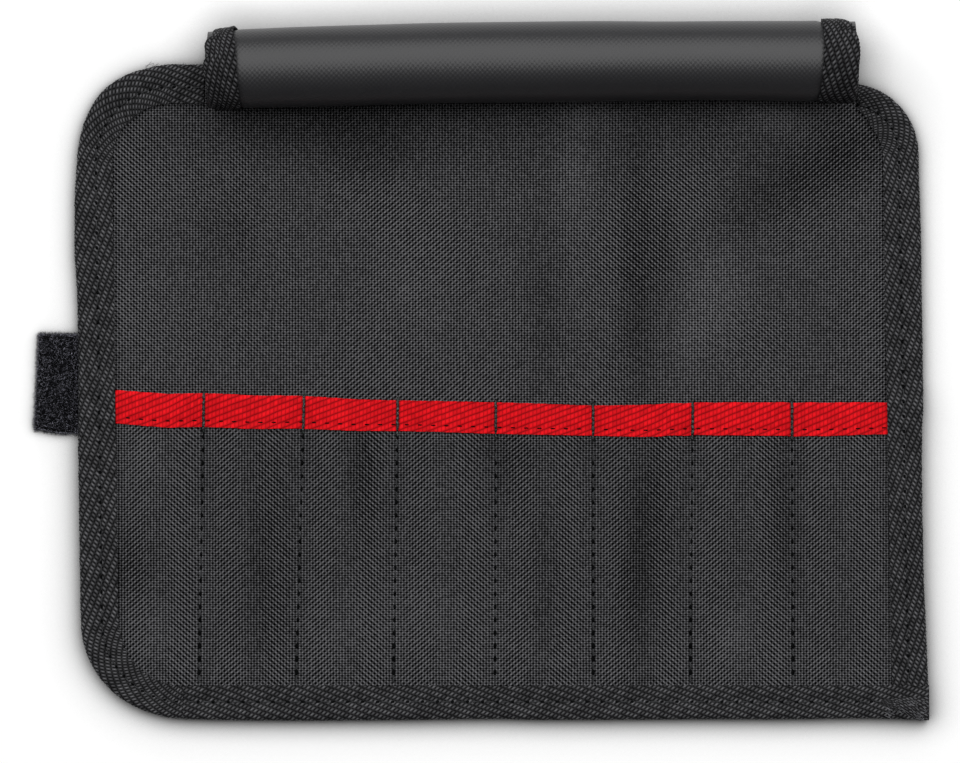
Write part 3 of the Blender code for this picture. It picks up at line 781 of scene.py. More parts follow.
class Finishes:
    """The finishes of the tool roll, each built once."""

    def __init__(self) -> None:
        """Build every material."""
        self.woven = PlainWeave("plain_weave_polyester", "woven_cloth", 0.60, 0.40, low_shine=0.0)
        self.coated = CoatedCloth("polyurethane_coated_polyester", "coated_cloth", 0.42, 0.50)
        self.tape = TwillTape("polyester_twill_tape", "binding_tape", 0.55, 0.45, low_shine=0.0)
        self.band = TwillTape("rolled_twill_tape", "binding_tape", 0.55, 0.40, low_shine=0.0,
                              light="#545457", dark="#010101")
        self.ribbon = TwillTape(
            "red_polyester_twill_ribbon", "red_ribbon", 0.6, 0.03, light="#ea161f",
            dark="#560307", dash_step_mm=(1.10, -0.465), rib_step_mm=(0.0, 1.82),
            relief_mm=0.12, dash_change=0.34, dash_edge=0.28, rib_edge=0.75,
        )
        self.thread = Fibre("bonded_polyester_thread", "binding_tape", 0.6, 0.2,
                            light="#38393b", dark="#121314")
        # painted shade: thread painted near-black, as the shade of the holes and recesses it lies
        # in
        self.sunk = Fibre("polyester_thread_painted_shade", "binding_tape", 0.8, 0.03,
                          light="#0b0c0d", dark="#020202")
        self.filament = Fibre("cut_polyester_filaments", "binding_tape", 0.5, 0.4,
                              light="#77777c", dark="#1a1a1c", drift_mm=0.8)
        # painted highlight: pale grey-green flecks on the dark cord, for the light on its twist
        self.cord = Fibre("twisted_polyester_cord", "binding_tape", 0.5, 0.4,
                          light="#5c6562", dark="#050606", drift_mm=0.5, rare=0.27)
        # painted shade: the pile's low cushion is painted near-black, as the shade among the loops
        self.ground = Fibre("nylon_pile_ground", "loop_pile", 0.9, 0.05,
                            light="#0d0d10", dark="#040405")
        # painted highlight: some loops are painted pale, as the glints on the dark navy pile
        self.pile = Fibre("nylon_loop_pile", "loop_pile", 0.5, 0.30,
                          light="#b4b4c4", dark="#08080b", drift_mm=0.45, rare=0.22)
        self.hook = Fibre("moulded_nylon_hooks", "hook_strip", 0.45,
                          light="#202024", dark="#101012")
        self.built = {finish.name: finish.build() for finish in vars(self).values()}

    def of(self, finish: Finish) -> bpy.types.Material:
        """The material of a finish."""
        return self.built[finish.name]


# ---------------------------------------------------------------- shared ways of making cloth


def write_flat(mesh: Worked, length: float, width: float) -> None:
    """Write where each point lies on the flat cloth, for its finish to read.

    Args:
        mesh: The cloth, still flat.
        length: How long one unit along X is.
        width: How long one unit along Y is.
    """
    layer = mesh.loops.layers.uv.new("flat")
    for face in mesh.faces:
        for loop in face.loops:
            loop[layer].uv = (loop.vert.co.x * length, loop.vert.co.y * width)


def thicken(mesh: Worked) -> list[bmesh.types.BMVert]:
    """Give a flat cloth its second layer, whose points are returned."""
    made = bmesh.ops.extrude_face_region(mesh, geom=mesh.faces[:], use_keep_orig=True)
    return [item for item in made["geom"] if isinstance(item, bmesh.types.BMVert)]


def trim(mesh: Worked, point: Vector, inward: Vector) -> list[bmesh.types.BMEdge]:
    """Cut a cloth off along an upright plane.

    Args:
        mesh: The cloth.
        point: A point of the plane.
        inward: Direction to what stays.

    Returns:
        The edges of the cut.
    """
    cut = bmesh.ops.bisect_plane(
        mesh, geom=mesh.verts[:] + mesh.edges[:] + mesh.faces[:], dist=0.01 * MM,
        plane_co=(*point, 0.0), plane_no=(*-inward, 0.0), clear_outer=True,
    )
    return [item for item in cut["geom_cut"] if isinstance(item, bmesh.types.BMEdge)]


def flat_strip(along_steps: int, across_steps: int, length: float, width: float) -> Worked:
    """A flat piece of cloth of two layers, from 0 to 1 along X and Y, with its flat size as UV.

    Args:
        along_steps: Faces along its length.
        across_steps: Faces across its width.
        length: Flat length, which U is read in.
        width: Flat width, which V is read in.

    Returns:
        A closed mesh whose Z tells the layers apart: 0 below, 1 above.
    """
    mesh = bmesh.new()
    bmesh.ops.create_grid(mesh, x_segments=along_steps, y_segments=across_steps, size=0.5)
    bmesh.ops.translate(mesh, verts=mesh.verts, vec=(0.5, 0.5, 0.0))
    write_flat(mesh, length, width)
    bmesh.ops.translate(mesh, verts=thicken(mesh), vec=UP)
    return mesh


def lay_out(mesh: Worked, place: Placer) -> None:
    """Move each point of a flat strip to where the cloth has it."""
    for vertex in mesh.verts:
        vertex.co = place(vertex.co.x, vertex.co.y, round(vertex.co.z))


def keep(name: str, mesh: Worked) -> bpy.types.Mesh:
    """Turn a worked mesh into one that Blender keeps.

    Args:
        name: Its name.
        mesh: The worked mesh, which is freed.

    Returns:
        The kept mesh.
    """
    data = bpy.data.meshes.new(name)
    mesh.to_mesh(data)
    mesh.free()
    return data


def add_object(name: str, data: bpy.types.ID) -> Piece:
    """Put a mesh, a light or a camera in the scene.

    Args:
        name: Name of the object.
        data: What it shows.

    Returns:
        The object.
    """
    made = bpy.data.objects.new(name, data)
    bpy.context.scene.collection.objects.link(made)
    return made


def template_mesh(mesh: Worked) -> bpy.types.Mesh:
    """Keep a small shape as a mesh that copies are made from."""
    bmesh.ops.recalc_face_normals(mesh, faces=mesh.faces)
    return keep("template", mesh)


def thin_rod(segments: int, foot: float, tip: float, length: float, cuts: int,
             turn: Matrix) -> Worked:
    """A thin closed rod that can be bent.

    Args:
        segments: Sides round it.
        foot: Radius of its foot.
        tip: Radius of its tip.
        length: Length, along Z before the turn.
        cuts: How many times its length is cut.
        turn: How it is turned.

    Returns:
        The rod, about the origin.
    """
    mesh = bmesh.new()
    bmesh.ops.create_cone(mesh, cap_ends=True, segments=segments, radius1=foot, radius2=tip,
                          depth=length, matrix=turn)
    long_edges = [edge for edge in mesh.edges if edge.calc_length() > length / 2.0]
    bmesh.ops.subdivide_edges(mesh, edges=long_edges, cuts=cuts)
    return mesh


def mark(mesh: Worked, **values: Callable[[Vector], float]) -> None:
    """Write values at each point of a cloth, for its finish to read.

    Args:
        mesh: The cloth.
        **values: Name of each value, and what reads it at a point.
    """
    for name, read in values.items():
        layer = mesh.verts.layers.float.new(name)
        for vertex in mesh.verts:
            vertex[layer] = read(vertex.co.xy)


def scatter(template: bpy.types.Mesh, places: Iterable[Matrix]) -> Worked:
    """Join copies of a small shape, each at its own place.

    Args:
        template: The small shape, which is removed.
        places: Where the copies lie.

    Returns:
        The joined mesh.
    """
    mesh = bmesh.new()
    for place in places:
        before = len(mesh.verts)
        mesh.from_mesh(template)
        mesh.verts.ensure_lookup_table()
        for vertex in mesh.verts[before:]:
            vertex.co = place @ vertex.co
    bpy.data.meshes.remove(template)
    return mesh


def axes(centre: Vector, along: Vector, up: Vector, size: Vector | None = None) -> Matrix:
    """A place with its X along one direction and its Z as near another as can be.

    Args:
        centre: Where it is.
        along: Direction of X.
        up: Direction of Z.
        size: Scale on its own axes.

    Returns:
        The place.
    """
    first = along.normalized()
    second = up.cross(first).normalized()
    third = first.cross(second)
    turn = Matrix((first, second, third)).transposed().to_4x4()
    return Matrix.Translation(centre) @ turn @ Matrix.Diagonal((*(size or Vector((1, 1, 1))), 1.0))


def stitch_shape(length: float, thickness: float, dip: float) -> bpy.types.Mesh:
    """One stitch of thread along X, whose ends dip into the cloth.

    Args:
        length: From one needle hole to the next one it reaches.
        thickness: Diameter of the thread.
        dip: How far its ends go down.

    Returns:
        A closed mesh about the origin.
    """
    mesh = thin_rod(8, thickness / 2.0, thickness / 2.0, length, 6,
                    Matrix.Rotation(math.radians(90.0), 4, 'Y'))
    for vertex in mesh.verts:
        out = abs(vertex.co.x) / (length / 2.0)
        swell = 1.0 - THREAD_TAPER * out ** 2
        vertex.co.y *= swell
        vertex.co.z = vertex.co.z * swell - dip * out ** 3
    return template_mesh(mesh)


class SubAssembly:
    """What every sub-assembly shares: the plan, the finishes and the way a piece is dressed."""

    def __init__(self, plan: BodyPlan, finishes: Finishes) -> None:
        """Keep the shared plan and finishes."""
        self.plan = plan
        self.finishes = finishes

    def dress(self, name: str, mesh: Worked, finish: Finish,
              replaced: Sequence[str] = (), under: Finish | None = None) -> Piece:
        """Move a finished mesh to the frame and make it a piece on the body.

        Args:
            name: Name of the piece.
            mesh: The shape on the flat plan.
            finish: The finish of the piece.
            replaced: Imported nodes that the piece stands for.
            under: A second finish, for the faces that look down.

        Returns:
            The piece.
        """
        bmesh.ops.translate(mesh, verts=mesh.verts, vec=self.plan.origin)
        bmesh.ops.recalc_face_normals(mesh, faces=mesh.faces)
        if under is not None:
            mesh.normal_update()
            for face in mesh.faces:
                face.material_index = int(face.normal.z < -0.5)
        data = keep(name, mesh)
        data.materials.append(self.finishes.of(finish))
        if under is not None:
            data.materials.append(self.finishes.of(under))
        data.shade_smooth()
        data.set_sharp_from_angle(angle=SHARP_ANGLE)
        piece = add_object(name, data)
        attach(piece, "root")
        if replaced:
            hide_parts(*replaced)
        LOG.info("%s: %d faces", name, len(data.polygons))
        return piece

    def sew(self, name: str, stitch: Stitch, places: Iterable[Matrix], finish: Finish) -> Piece:
        """Make a piece of many stitches.

        Args:
            name: Name of the piece.
            stitch: Length and thickness of one stitch, and how far its ends dip.
            places: Where the stitches lie.
            finish: The thread's finish.

        Returns:
            The piece.
        """
        return self.dress(name, scatter(stitch_shape(*stitch), places), finish)


# ---------------------------------------------------------------- the body's cloth


@dataclass
class BodyCloth:
    """The one cloth of the body, laid flat and softly draped inside its binding."""

    shop: SubAssembly
    thickness: float = 0.8 * MM
    grid: float = 1.6 * MM
    corner_cuts: int = 10
    pucker: float = 0.10 * MM  # waves where the stitching draws the cloth
    pucker_pitch: float = 4.4 * MM
    pucker_run: float = 4.0 * MM
    lean_span: float = 150.0 * MM  # width of one leaning to either side
    lean_start: float = 55.0 * MM

    def lean(self, point: Vector) -> float:
        """Which way the cloth is taken to lean at a point, from -1 to 1; it picks the diagonal of
        floats that is painted lighter.

        Args:
            point: A point of the plan.

        Returns:
            The lean.
        """
        turn = math.tau * (point.x - self.lean_start) / self.lean_span
        place = Vector((point.x, point.y, 0.0)) / (self.lean_span / 4.0)
        return min(max(0.8 * math.sin(turn) + 1.2 * noise.noise(place), -1.0), 1.0)

    def under(self, point: Vector) -> float:
        """Height of the cloth's underside.

        Args:
            point: A point of the plan.

        Returns:
            The height above the floor.
        """
        plan = self.shop.plan
        inside = plan.edge_distance(point) - plan.tape_face
        wave = math.sin(math.tau * (point.x + point.y) / self.pucker_pitch)
        drawn = self.pucker * wave * hump(max(inside, 0.0), self.pucker_run)
        return plan.lie + plan.drape(point) + drawn * ease(inside / self.pucker_run)

    def build(self) -> Piece:
        """Cut the sheet to the outline, give it its thickness and drape it.

        Returns:
            The cloth.
        """
        plan = self.shop.plan
        width = plan.width + 2.0 * plan.left_lean
        mesh = bmesh.new()
        bmesh.ops.create_grid(
            mesh, x_segments=round(width / self.grid), y_segments=round(plan.height / self.grid),
            size=0.5,
        )
        bmesh.ops.scale(mesh, verts=mesh.verts, vec=(width, plan.height, 1.0))
        bmesh.ops.translate(mesh, verts=mesh.verts, vec=(plan.width / 2.0, plan.height / 2.0, 0.0))
        write_flat(mesh, 1.0, 1.0)
        cuts = [(edge.start + edge.inward * plan.cloth_inset, edge.inward) for edge in plan.edges]
        for corner in plan.corners:
            stations = corner.stations(self.corner_cuts)
            cuts += [(base + inward * plan.cloth_inset, inward) for base, inward in stations]
        for base, inward in cuts:
            trim(mesh, base, inward)
        upper = set(thicken(mesh))
        for vertex in mesh.verts:
            level = self.under(vertex.co.xy)
            vertex.co.z = level + (self.thickness if vertex in upper else 0.0)
        # lean picks the diagonal painted lighter; crest paints the folds' shade, lighter on crests
        # and darker in hollows
        mark(mesh, lean=self.lean, crest=lambda point: plan.crest(plan.folds, point))
        return self.shop.dress("body_cloth", mesh, self.shop.finishes.woven, ["back_panel"],
                               self.shop.finishes.coated)


@dataclass
class Pockets:
    """The pocket cloth with its eight pockets, the red ribbon on their mouths and its seams."""

    shop: SubAssembly
    thickness: float = 0.8 * MM
    pocket_steps: int = 22
    margin_steps: int = 6
    up_steps: int = 64
    pucker: float = 0.22 * MM  # how far each stitch pulls the cloth in beside it
    stitch_pitch: float = 3.85 * MM
    pull_off: float = 1.6 * MM  # where that pull is strongest, from the stitch line
    pull_run: float = 1.4 * MM
    drift: float = 0.10  # how far the cloth's lean drifts across a pocket
    drift_span: float = 22.0 * MM
    stitch: Stitch = (2.9 * MM, 0.45 * MM, 0.45 * MM)
    lock: Stitch = (2.0 * MM, 1.10 * MM, 0.35 * MM)  # knot at each hole, painted near-black as the hole's shade
    seam_stitch: Stitch = (1.6 * MM, 0.40 * MM, 0.30 * MM)
    stitch_rise: float = 0.10 * MM  # a thread's middle above the cloth's face
    lock_sink: float = 0.28 * MM  # a knot's middle below the thread's
    # Face of the ribbon by the place across, as a share of the body's width, in mm
    ribbon_faces: tuple[tuple[float, float], ...] = (
        (0.00, 9.2), (0.14, 9.5), (0.26, 9.1), (0.38, 8.5), (0.50, 8.7), (0.60, 8.4),
        (0.67, 8.9), (0.78, 9.2), (0.86, 9.4), (0.95, 8.8), (1.00, 8.7),
    )
    ribbon_back: float = 3.0 * MM  # turned down behind the mouth
    ribbon_thickness: float = 0.45 * MM
    ribbon_gap: float = 0.08 * MM
    ribbon_across: int = 22
    seam_rise: float = 1.9 * MM  # the ribbon's seam above its lower edge
    seam_pitch: float = 3.9 * MM
    seam_sink: float = 0.08 * MM  # its threads lie this deep in the ribbon
    seam_pull: float = 0.16 * MM  # how far it draws the ribbon in
    seam_run: float = 0.7 * MM
    lockstitch: float = 1.5 * MM  # a division thread passes the ribbon by this far
    cord_thread: float = 0.95 * MM  # the thick thread across the ribbon
    cord_turns: int = 8
    cord_twist: float = 0.09 * MM
    cord_dip: float = 0.10 * MM
    cord_overlap: float = 1.25  # its turns run into one another
    cord_level: float = 1.2 * MM  # its tail's middle above the body cloth's underside
    bend_steps: int = 10  # cuts round the lower left corner
    scallop: float = 0.22 * MM  # the ribbon's edge between its own threads
    scallop_span: float = 4.6 * MM

    def __post_init__(self) -> None:
        """Find the columns of the pocket cloth, at its foot and at its mouth."""
        plan = self.shop.plan
        self.columns: list[tuple[float, float]] = []
        margin = plan.tape_face - plan.cloth_inset
        for step in range(self.margin_steps):
            inset = plan.cloth_inset + margin * step / self.margin_steps
            self.columns.append((plan.left.at_height(0.0, inset).x,
                                 plan.left.at_height(plan.mouth, inset).x))
        for pocket in range(len(plan.stitch_lines) + 1):
            for step in range(self.pocket_steps):
                share = step / self.pocket_steps
                self.columns.append((self.between(pocket, share, 0.0),
                                     self.between(pocket, share, plan.mouth)))
        for step in range(self.margin_steps + 1):
            inset = plan.tape_face - margin * step / self.margin_steps
            self.columns.append((plan.right.at_height(0.0, inset).x,
                                 plan.right.at_height(plan.mouth, inset).x))

    def between(self, pocket: int, share: float, height: float) -> float:
        """Where a column of a pocket stands across, at a height."""
        left, right = (self.shop.plan.pocket_line(pocket + side, height) for side in (0, 1))
        return left + (right - left) * share

    def top(self, point: Vector) -> float:
        """Height of the pocket cloth's upper face, with the stitches' small pull.

        Args:
            point: A point of the plan.

        Returns:
            The height above the floor.
        """
        plan = self.shop.plan
        pocket, share = plan.pocket_at(point.x, point.y)
        beside = min(share, 1.0 - share) * plan.width / (len(plan.stitch_lines) + 1)
        pull = self.pucker * hump(beside - self.pull_off, self.pull_run)
        wave = 0.5 + 0.5 * math.cos(math.tau * point.y / self.stitch_pitch)
        return (plan.pocket_lie + plan.drape(point) + plan.pocket_rise(point)
                + self.thickness + pull * wave * ease((share * (1.0 - share)) * 12.0))

    def lean(self, point: Vector) -> float:
        """Which way the cloth leans: one way up a pocket's swell and the other way down it. It
        picks the diagonal of floats that is painted lighter.

        Args:
            point: A point of the plan.

        Returns:
            The lean, from -1 to 1.
        """
        _, share = self.shop.plan.pocket_at(point.x, point.y)
        drift = self.drift * noise.noise(Vector((point.x, point.y, 6.0)) / self.drift_span)
        return math.sin(math.tau * min(max(share + drift, 0.0), 1.0))

    def ribbon_face(self, across: float) -> float:
        """Height of the ribbon's face at a place across."""
        return read_smooth(self.ribbon_faces, across / self.shop.plan.width, 1) * MM

    def cloth(self) -> Piece:
        """The pocket cloth, sewn down between the pockets and open at each mouth.

        Returns:
            The piece.
        """
        plan = self.shop.plan
        last = len(self.columns) - 1
        mesh = flat_strip(last, self.up_steps, plan.width, plan.mouth)
        low = plan.cloth_inset

        def place(along: float, up: float, layer: int) -> Vector:
            """Where a point of the flat strip lies."""
            foot, mouth = self.columns[round(along * last)]
            top = plan.mouth_height(mouth)
            height = low + (top - low) * up
            point = Vector((foot + (mouth - foot) * height / plan.mouth, height))
            return Vector((*point, self.top(point) - (0.0 if layer else self.thickness)))

        lay_out(mesh, place)
        for base, inward in plan.bottom_left_corner.stations(self.bend_steps):
            rim = trim(mesh, base + inward * plan.cloth_inset, inward)
            bmesh.ops.contextual_create(mesh, geom=[edge for edge in rim if edge.is_boundary])
        bmesh.ops.triangulate(mesh, faces=[face for face in mesh.faces if len(face.verts) > 4])
        # lean picks the diagonal painted lighter; crest paints the dents' shade, lighter on swells
        # and darker in dents
        mark(mesh, crest=lambda point: plan.crest(plan.dents, point), lean=self.lean)
        return self.shop.dress("pocket_cloth", mesh, self.shop.finishes.woven, ["pocket_panel"])

    def ribbon(self) -> Piece:
        """The red ribbon, folded over the mouths' cut edge.

        Returns:
            The piece.
        """
        plan = self.shop.plan
        columns = self.columns[self.margin_steps:-self.margin_steps]
        last = len(columns) - 1
        turn = self.thickness + 2.0 * self.ribbon_gap
        flat_width = self.ribbon_faces[0][1] * MM + turn + self.ribbon_back
        mesh = flat_strip(last, self.ribbon_across, columns[-1][1] - columns[0][1], flat_width)

        def place(along: float, up: float, layer: int) -> Vector:
            """Where a point of the flat strip lies."""
            foot, mouth = columns[round(along * last)]
            face = self.ribbon_face(mouth)
            wave = noise.noise(Vector((mouth / self.scallop_span, 3.0, 0.0)))
            line = plan.mouth_height(mouth) + self.scallop * wave
            run = up * (face + turn + self.ribbon_back) - self.ribbon_back
            out = self.ribbon_thickness * layer
            if run > turn:
                height, level = line - (run - turn), self.ribbon_gap + out
            elif run > 0.0:
                height = line + self.ribbon_gap + out * math.sin(math.pi * run / turn)
                level = run - turn + self.ribbon_gap + out * (2.0 * run / turn - 1.0)
            else:
                height, level = line + run, -turn + self.ribbon_gap - out
            point = Vector((foot + (mouth - foot) * height / plan.mouth, min(height, line)))
            seam = hump(line - face + self.seam_rise - height, self.seam_run)
            pull = self.seam_pull * seam if run > turn else 0.0
            return Vector((point.x, height, self.top(point) + level - pull))

        lay_out(mesh, place)
        return self.shop.dress("mouth_ribbon", mesh, self.shop.finishes.ribbon, ["pocket_ribbon"])

    def division_stitches(self) -> list[Piece]:
        """The dashed seams between the pockets, from the ribbon down to the binding.

        Returns:
            The stitches, and the knots at their holes, painted near-black as the holes' shade.
        """
        plan = self.shop.plan
        places, holes = [], []
        for line in range(1, len(plan.stitch_lines) + 1):
            height = plan.tape_face + self.stitch_pitch / 2.0
            mouth = plan.pocket_line(line, plan.mouth)
            top = plan.mouth_height(mouth) - self.ribbon_face(mouth) - self.lockstitch
            while height < top - self.stitch_pitch / 2.0:
                point = Vector((plan.pocket_line(line, height), height))
                ahead = Vector((plan.pocket_line(line, height + MM), height + MM))
                centre = Vector((*point, self.top(point) + self.stitch_rise))
                along = Vector((*(ahead - point), 0.0))
                places.append(axes(centre, along, UP))
                step = along.normalized() * self.stitch_pitch / 2.0
                holes.append(axes(centre + step - self.lock_sink * UP, along, UP))
                height += self.stitch_pitch
        finishes = self.shop.finishes
        return [self.shop.sew("division_stitches", self.stitch, places, finishes.thread),
                self.shop.sew("division_locks", self.lock, holes, finishes.sunk)]

    def mouth_threads(self) -> Piece:
        """The thick locking threads that cross the ribbon at each division.

        Returns:
            The piece.
        """
        plan = self.shop.plan
        places = []
        for line in range(1, len(plan.stitch_lines) + 1):
            face = self.ribbon_face(plan.pocket_line(line, plan.mouth))
            mouth = plan.mouth_height(plan.pocket_line(line, plan.mouth))
            length = face + 2.0 * self.lockstitch
            step = length / self.cord_turns
            points = []
            for turn in range(self.cord_turns + 1):
                height = mouth + self.lockstitch - length + step * turn
                across = plan.pocket_line(line, height)
                level = self.top(Vector((across, min(height, mouth)))) + self.cord_thread / 4.0
                if height > mouth + self.ribbon_thickness:
                    level = plan.lie + plan.drape(Vector((across, height))) + self.cord_level
                elif height > mouth - face:
                    level += self.ribbon_gap + self.ribbon_thickness
                side = self.cord_twist * (-1) ** turn
                points.append(Vector((across + side, height, level)))
            for low, high in zip(points, points[1:]):
                places.append(axes((low + high) / 2.0, high - low, UP))
        turn_shape = (step * self.cord_overlap, self.cord_thread, self.cord_dip)
        return self.shop.sew("mouth_threads", turn_shape, places, self.shop.finishes.cord)

    def ribbon_seam(self) -> Piece:
        """The seam along the ribbon's lower edge, its threads painted near-black as the shade of
        their recesses.

        Returns:
            The piece.
        """
        plan = self.shop.plan
        places = []
        across = plan.pocket_line(0, plan.mouth) + self.seam_pitch
        while across < plan.pocket_line(len(plan.stitch_lines) + 1, plan.mouth):
            point = self.seam_point(across)
            ahead = self.seam_point(across + MM)
            places.append(axes(point, ahead - point, UP))
            across += self.seam_pitch
        return self.shop.sew("ribbon_seam", self.seam_stitch, places, self.shop.finishes.sunk)

    def seam_point(self, across: float) -> Vector:
        """A point of the ribbon's seam.

        Args:
            across: Its place across.

        Returns:
            The point.
        """
        height = self.shop.plan.mouth_height(across) - self.ribbon_face(across) + self.seam_rise
        point = Vector((across, height))
        face = self.top(point) + self.ribbon_gap + self.ribbon_thickness
        return Vector((*point, face - self.seam_sink))

    def build(self) -> tuple[Piece, list[Piece]]:
        """Build the pocket cloth, and the pieces on it.

        Returns:
            The cloth, and the pieces.
        """
        cloth = self.cloth()
        return cloth, [self.ribbon(), *self.division_stitches(), self.mouth_threads(),
                       self.ribbon_seam()]


# ---------------------------------------------------------------- the binding


@dataclass
class FoldedTape:
    """Section of a tape folded over an edge, followed from its upper to its lower selvedge."""

    round_over: float = 1.5 * MM  # radius of the fold
    thickness: float = 0.55 * MM
    dip: float = 0.55 * MM  # how far the upper selvedge lies below the fold
    groove: float = 0.30 * MM  # how far the stitching sinks the tape
    stitch_depth: float = 5.9 * MM  # the stitch row, from the fold
    groove_run: float = 1.3 * MM

    def at(self, share: float, face: float, top: float) -> tuple[float, float, float, float]:
        """A point of the tape's outer face and its outward direction.

        Args:
            share: Place round the section, from 0 at the upper selvedge to 1 at the lower.
            face: How far the tape reaches in from the fold.
            top: Height of the whole fold.

        Returns:
            Depth from the edge, height, and the direction outward as depth and height.
        """
        bend = min(self.round_over, top / 2.0)
        straight = face - bend
        arc = math.pi * bend / 2.0
        upright = top - 2.0 * bend
        run = share * (2.0 * straight + 2.0 * arc + upright)
        if run < straight:
            depth = face - run
            slope = ease((depth - bend) / straight)
            sunk = self.groove * hump(depth - self.stitch_depth, self.groove_run)
            return depth, top - self.dip * slope - sunk, 0.0, 1.0
        run -= straight
        if run < arc:
            turn = run / bend
            return bend * (1.0 - math.sin(turn)), top - bend * (1.0 - math.cos(turn)), \
                -math.sin(turn), math.cos(turn)
        run -= arc
        if run < upright:
            return 0.0, top - bend - run, -1.0, 0.0
        run -= upright
        if run < arc:
            turn = run / bend
            return bend * (1.0 - math.cos(turn)), bend * (1.0 - math.sin(turn)), \
                -math.cos(turn), -math.sin(turn)
        return bend + run - arc, 0.0, 0.0, -1.0

    def flat_width(self, face: float, top: float) -> float:
        """Width of the tape before it was folded."""
        bend = min(self.round_over, top / 2.0)
        return 2.0 * (face - bend) + math.pi * bend + top - 2.0 * bend


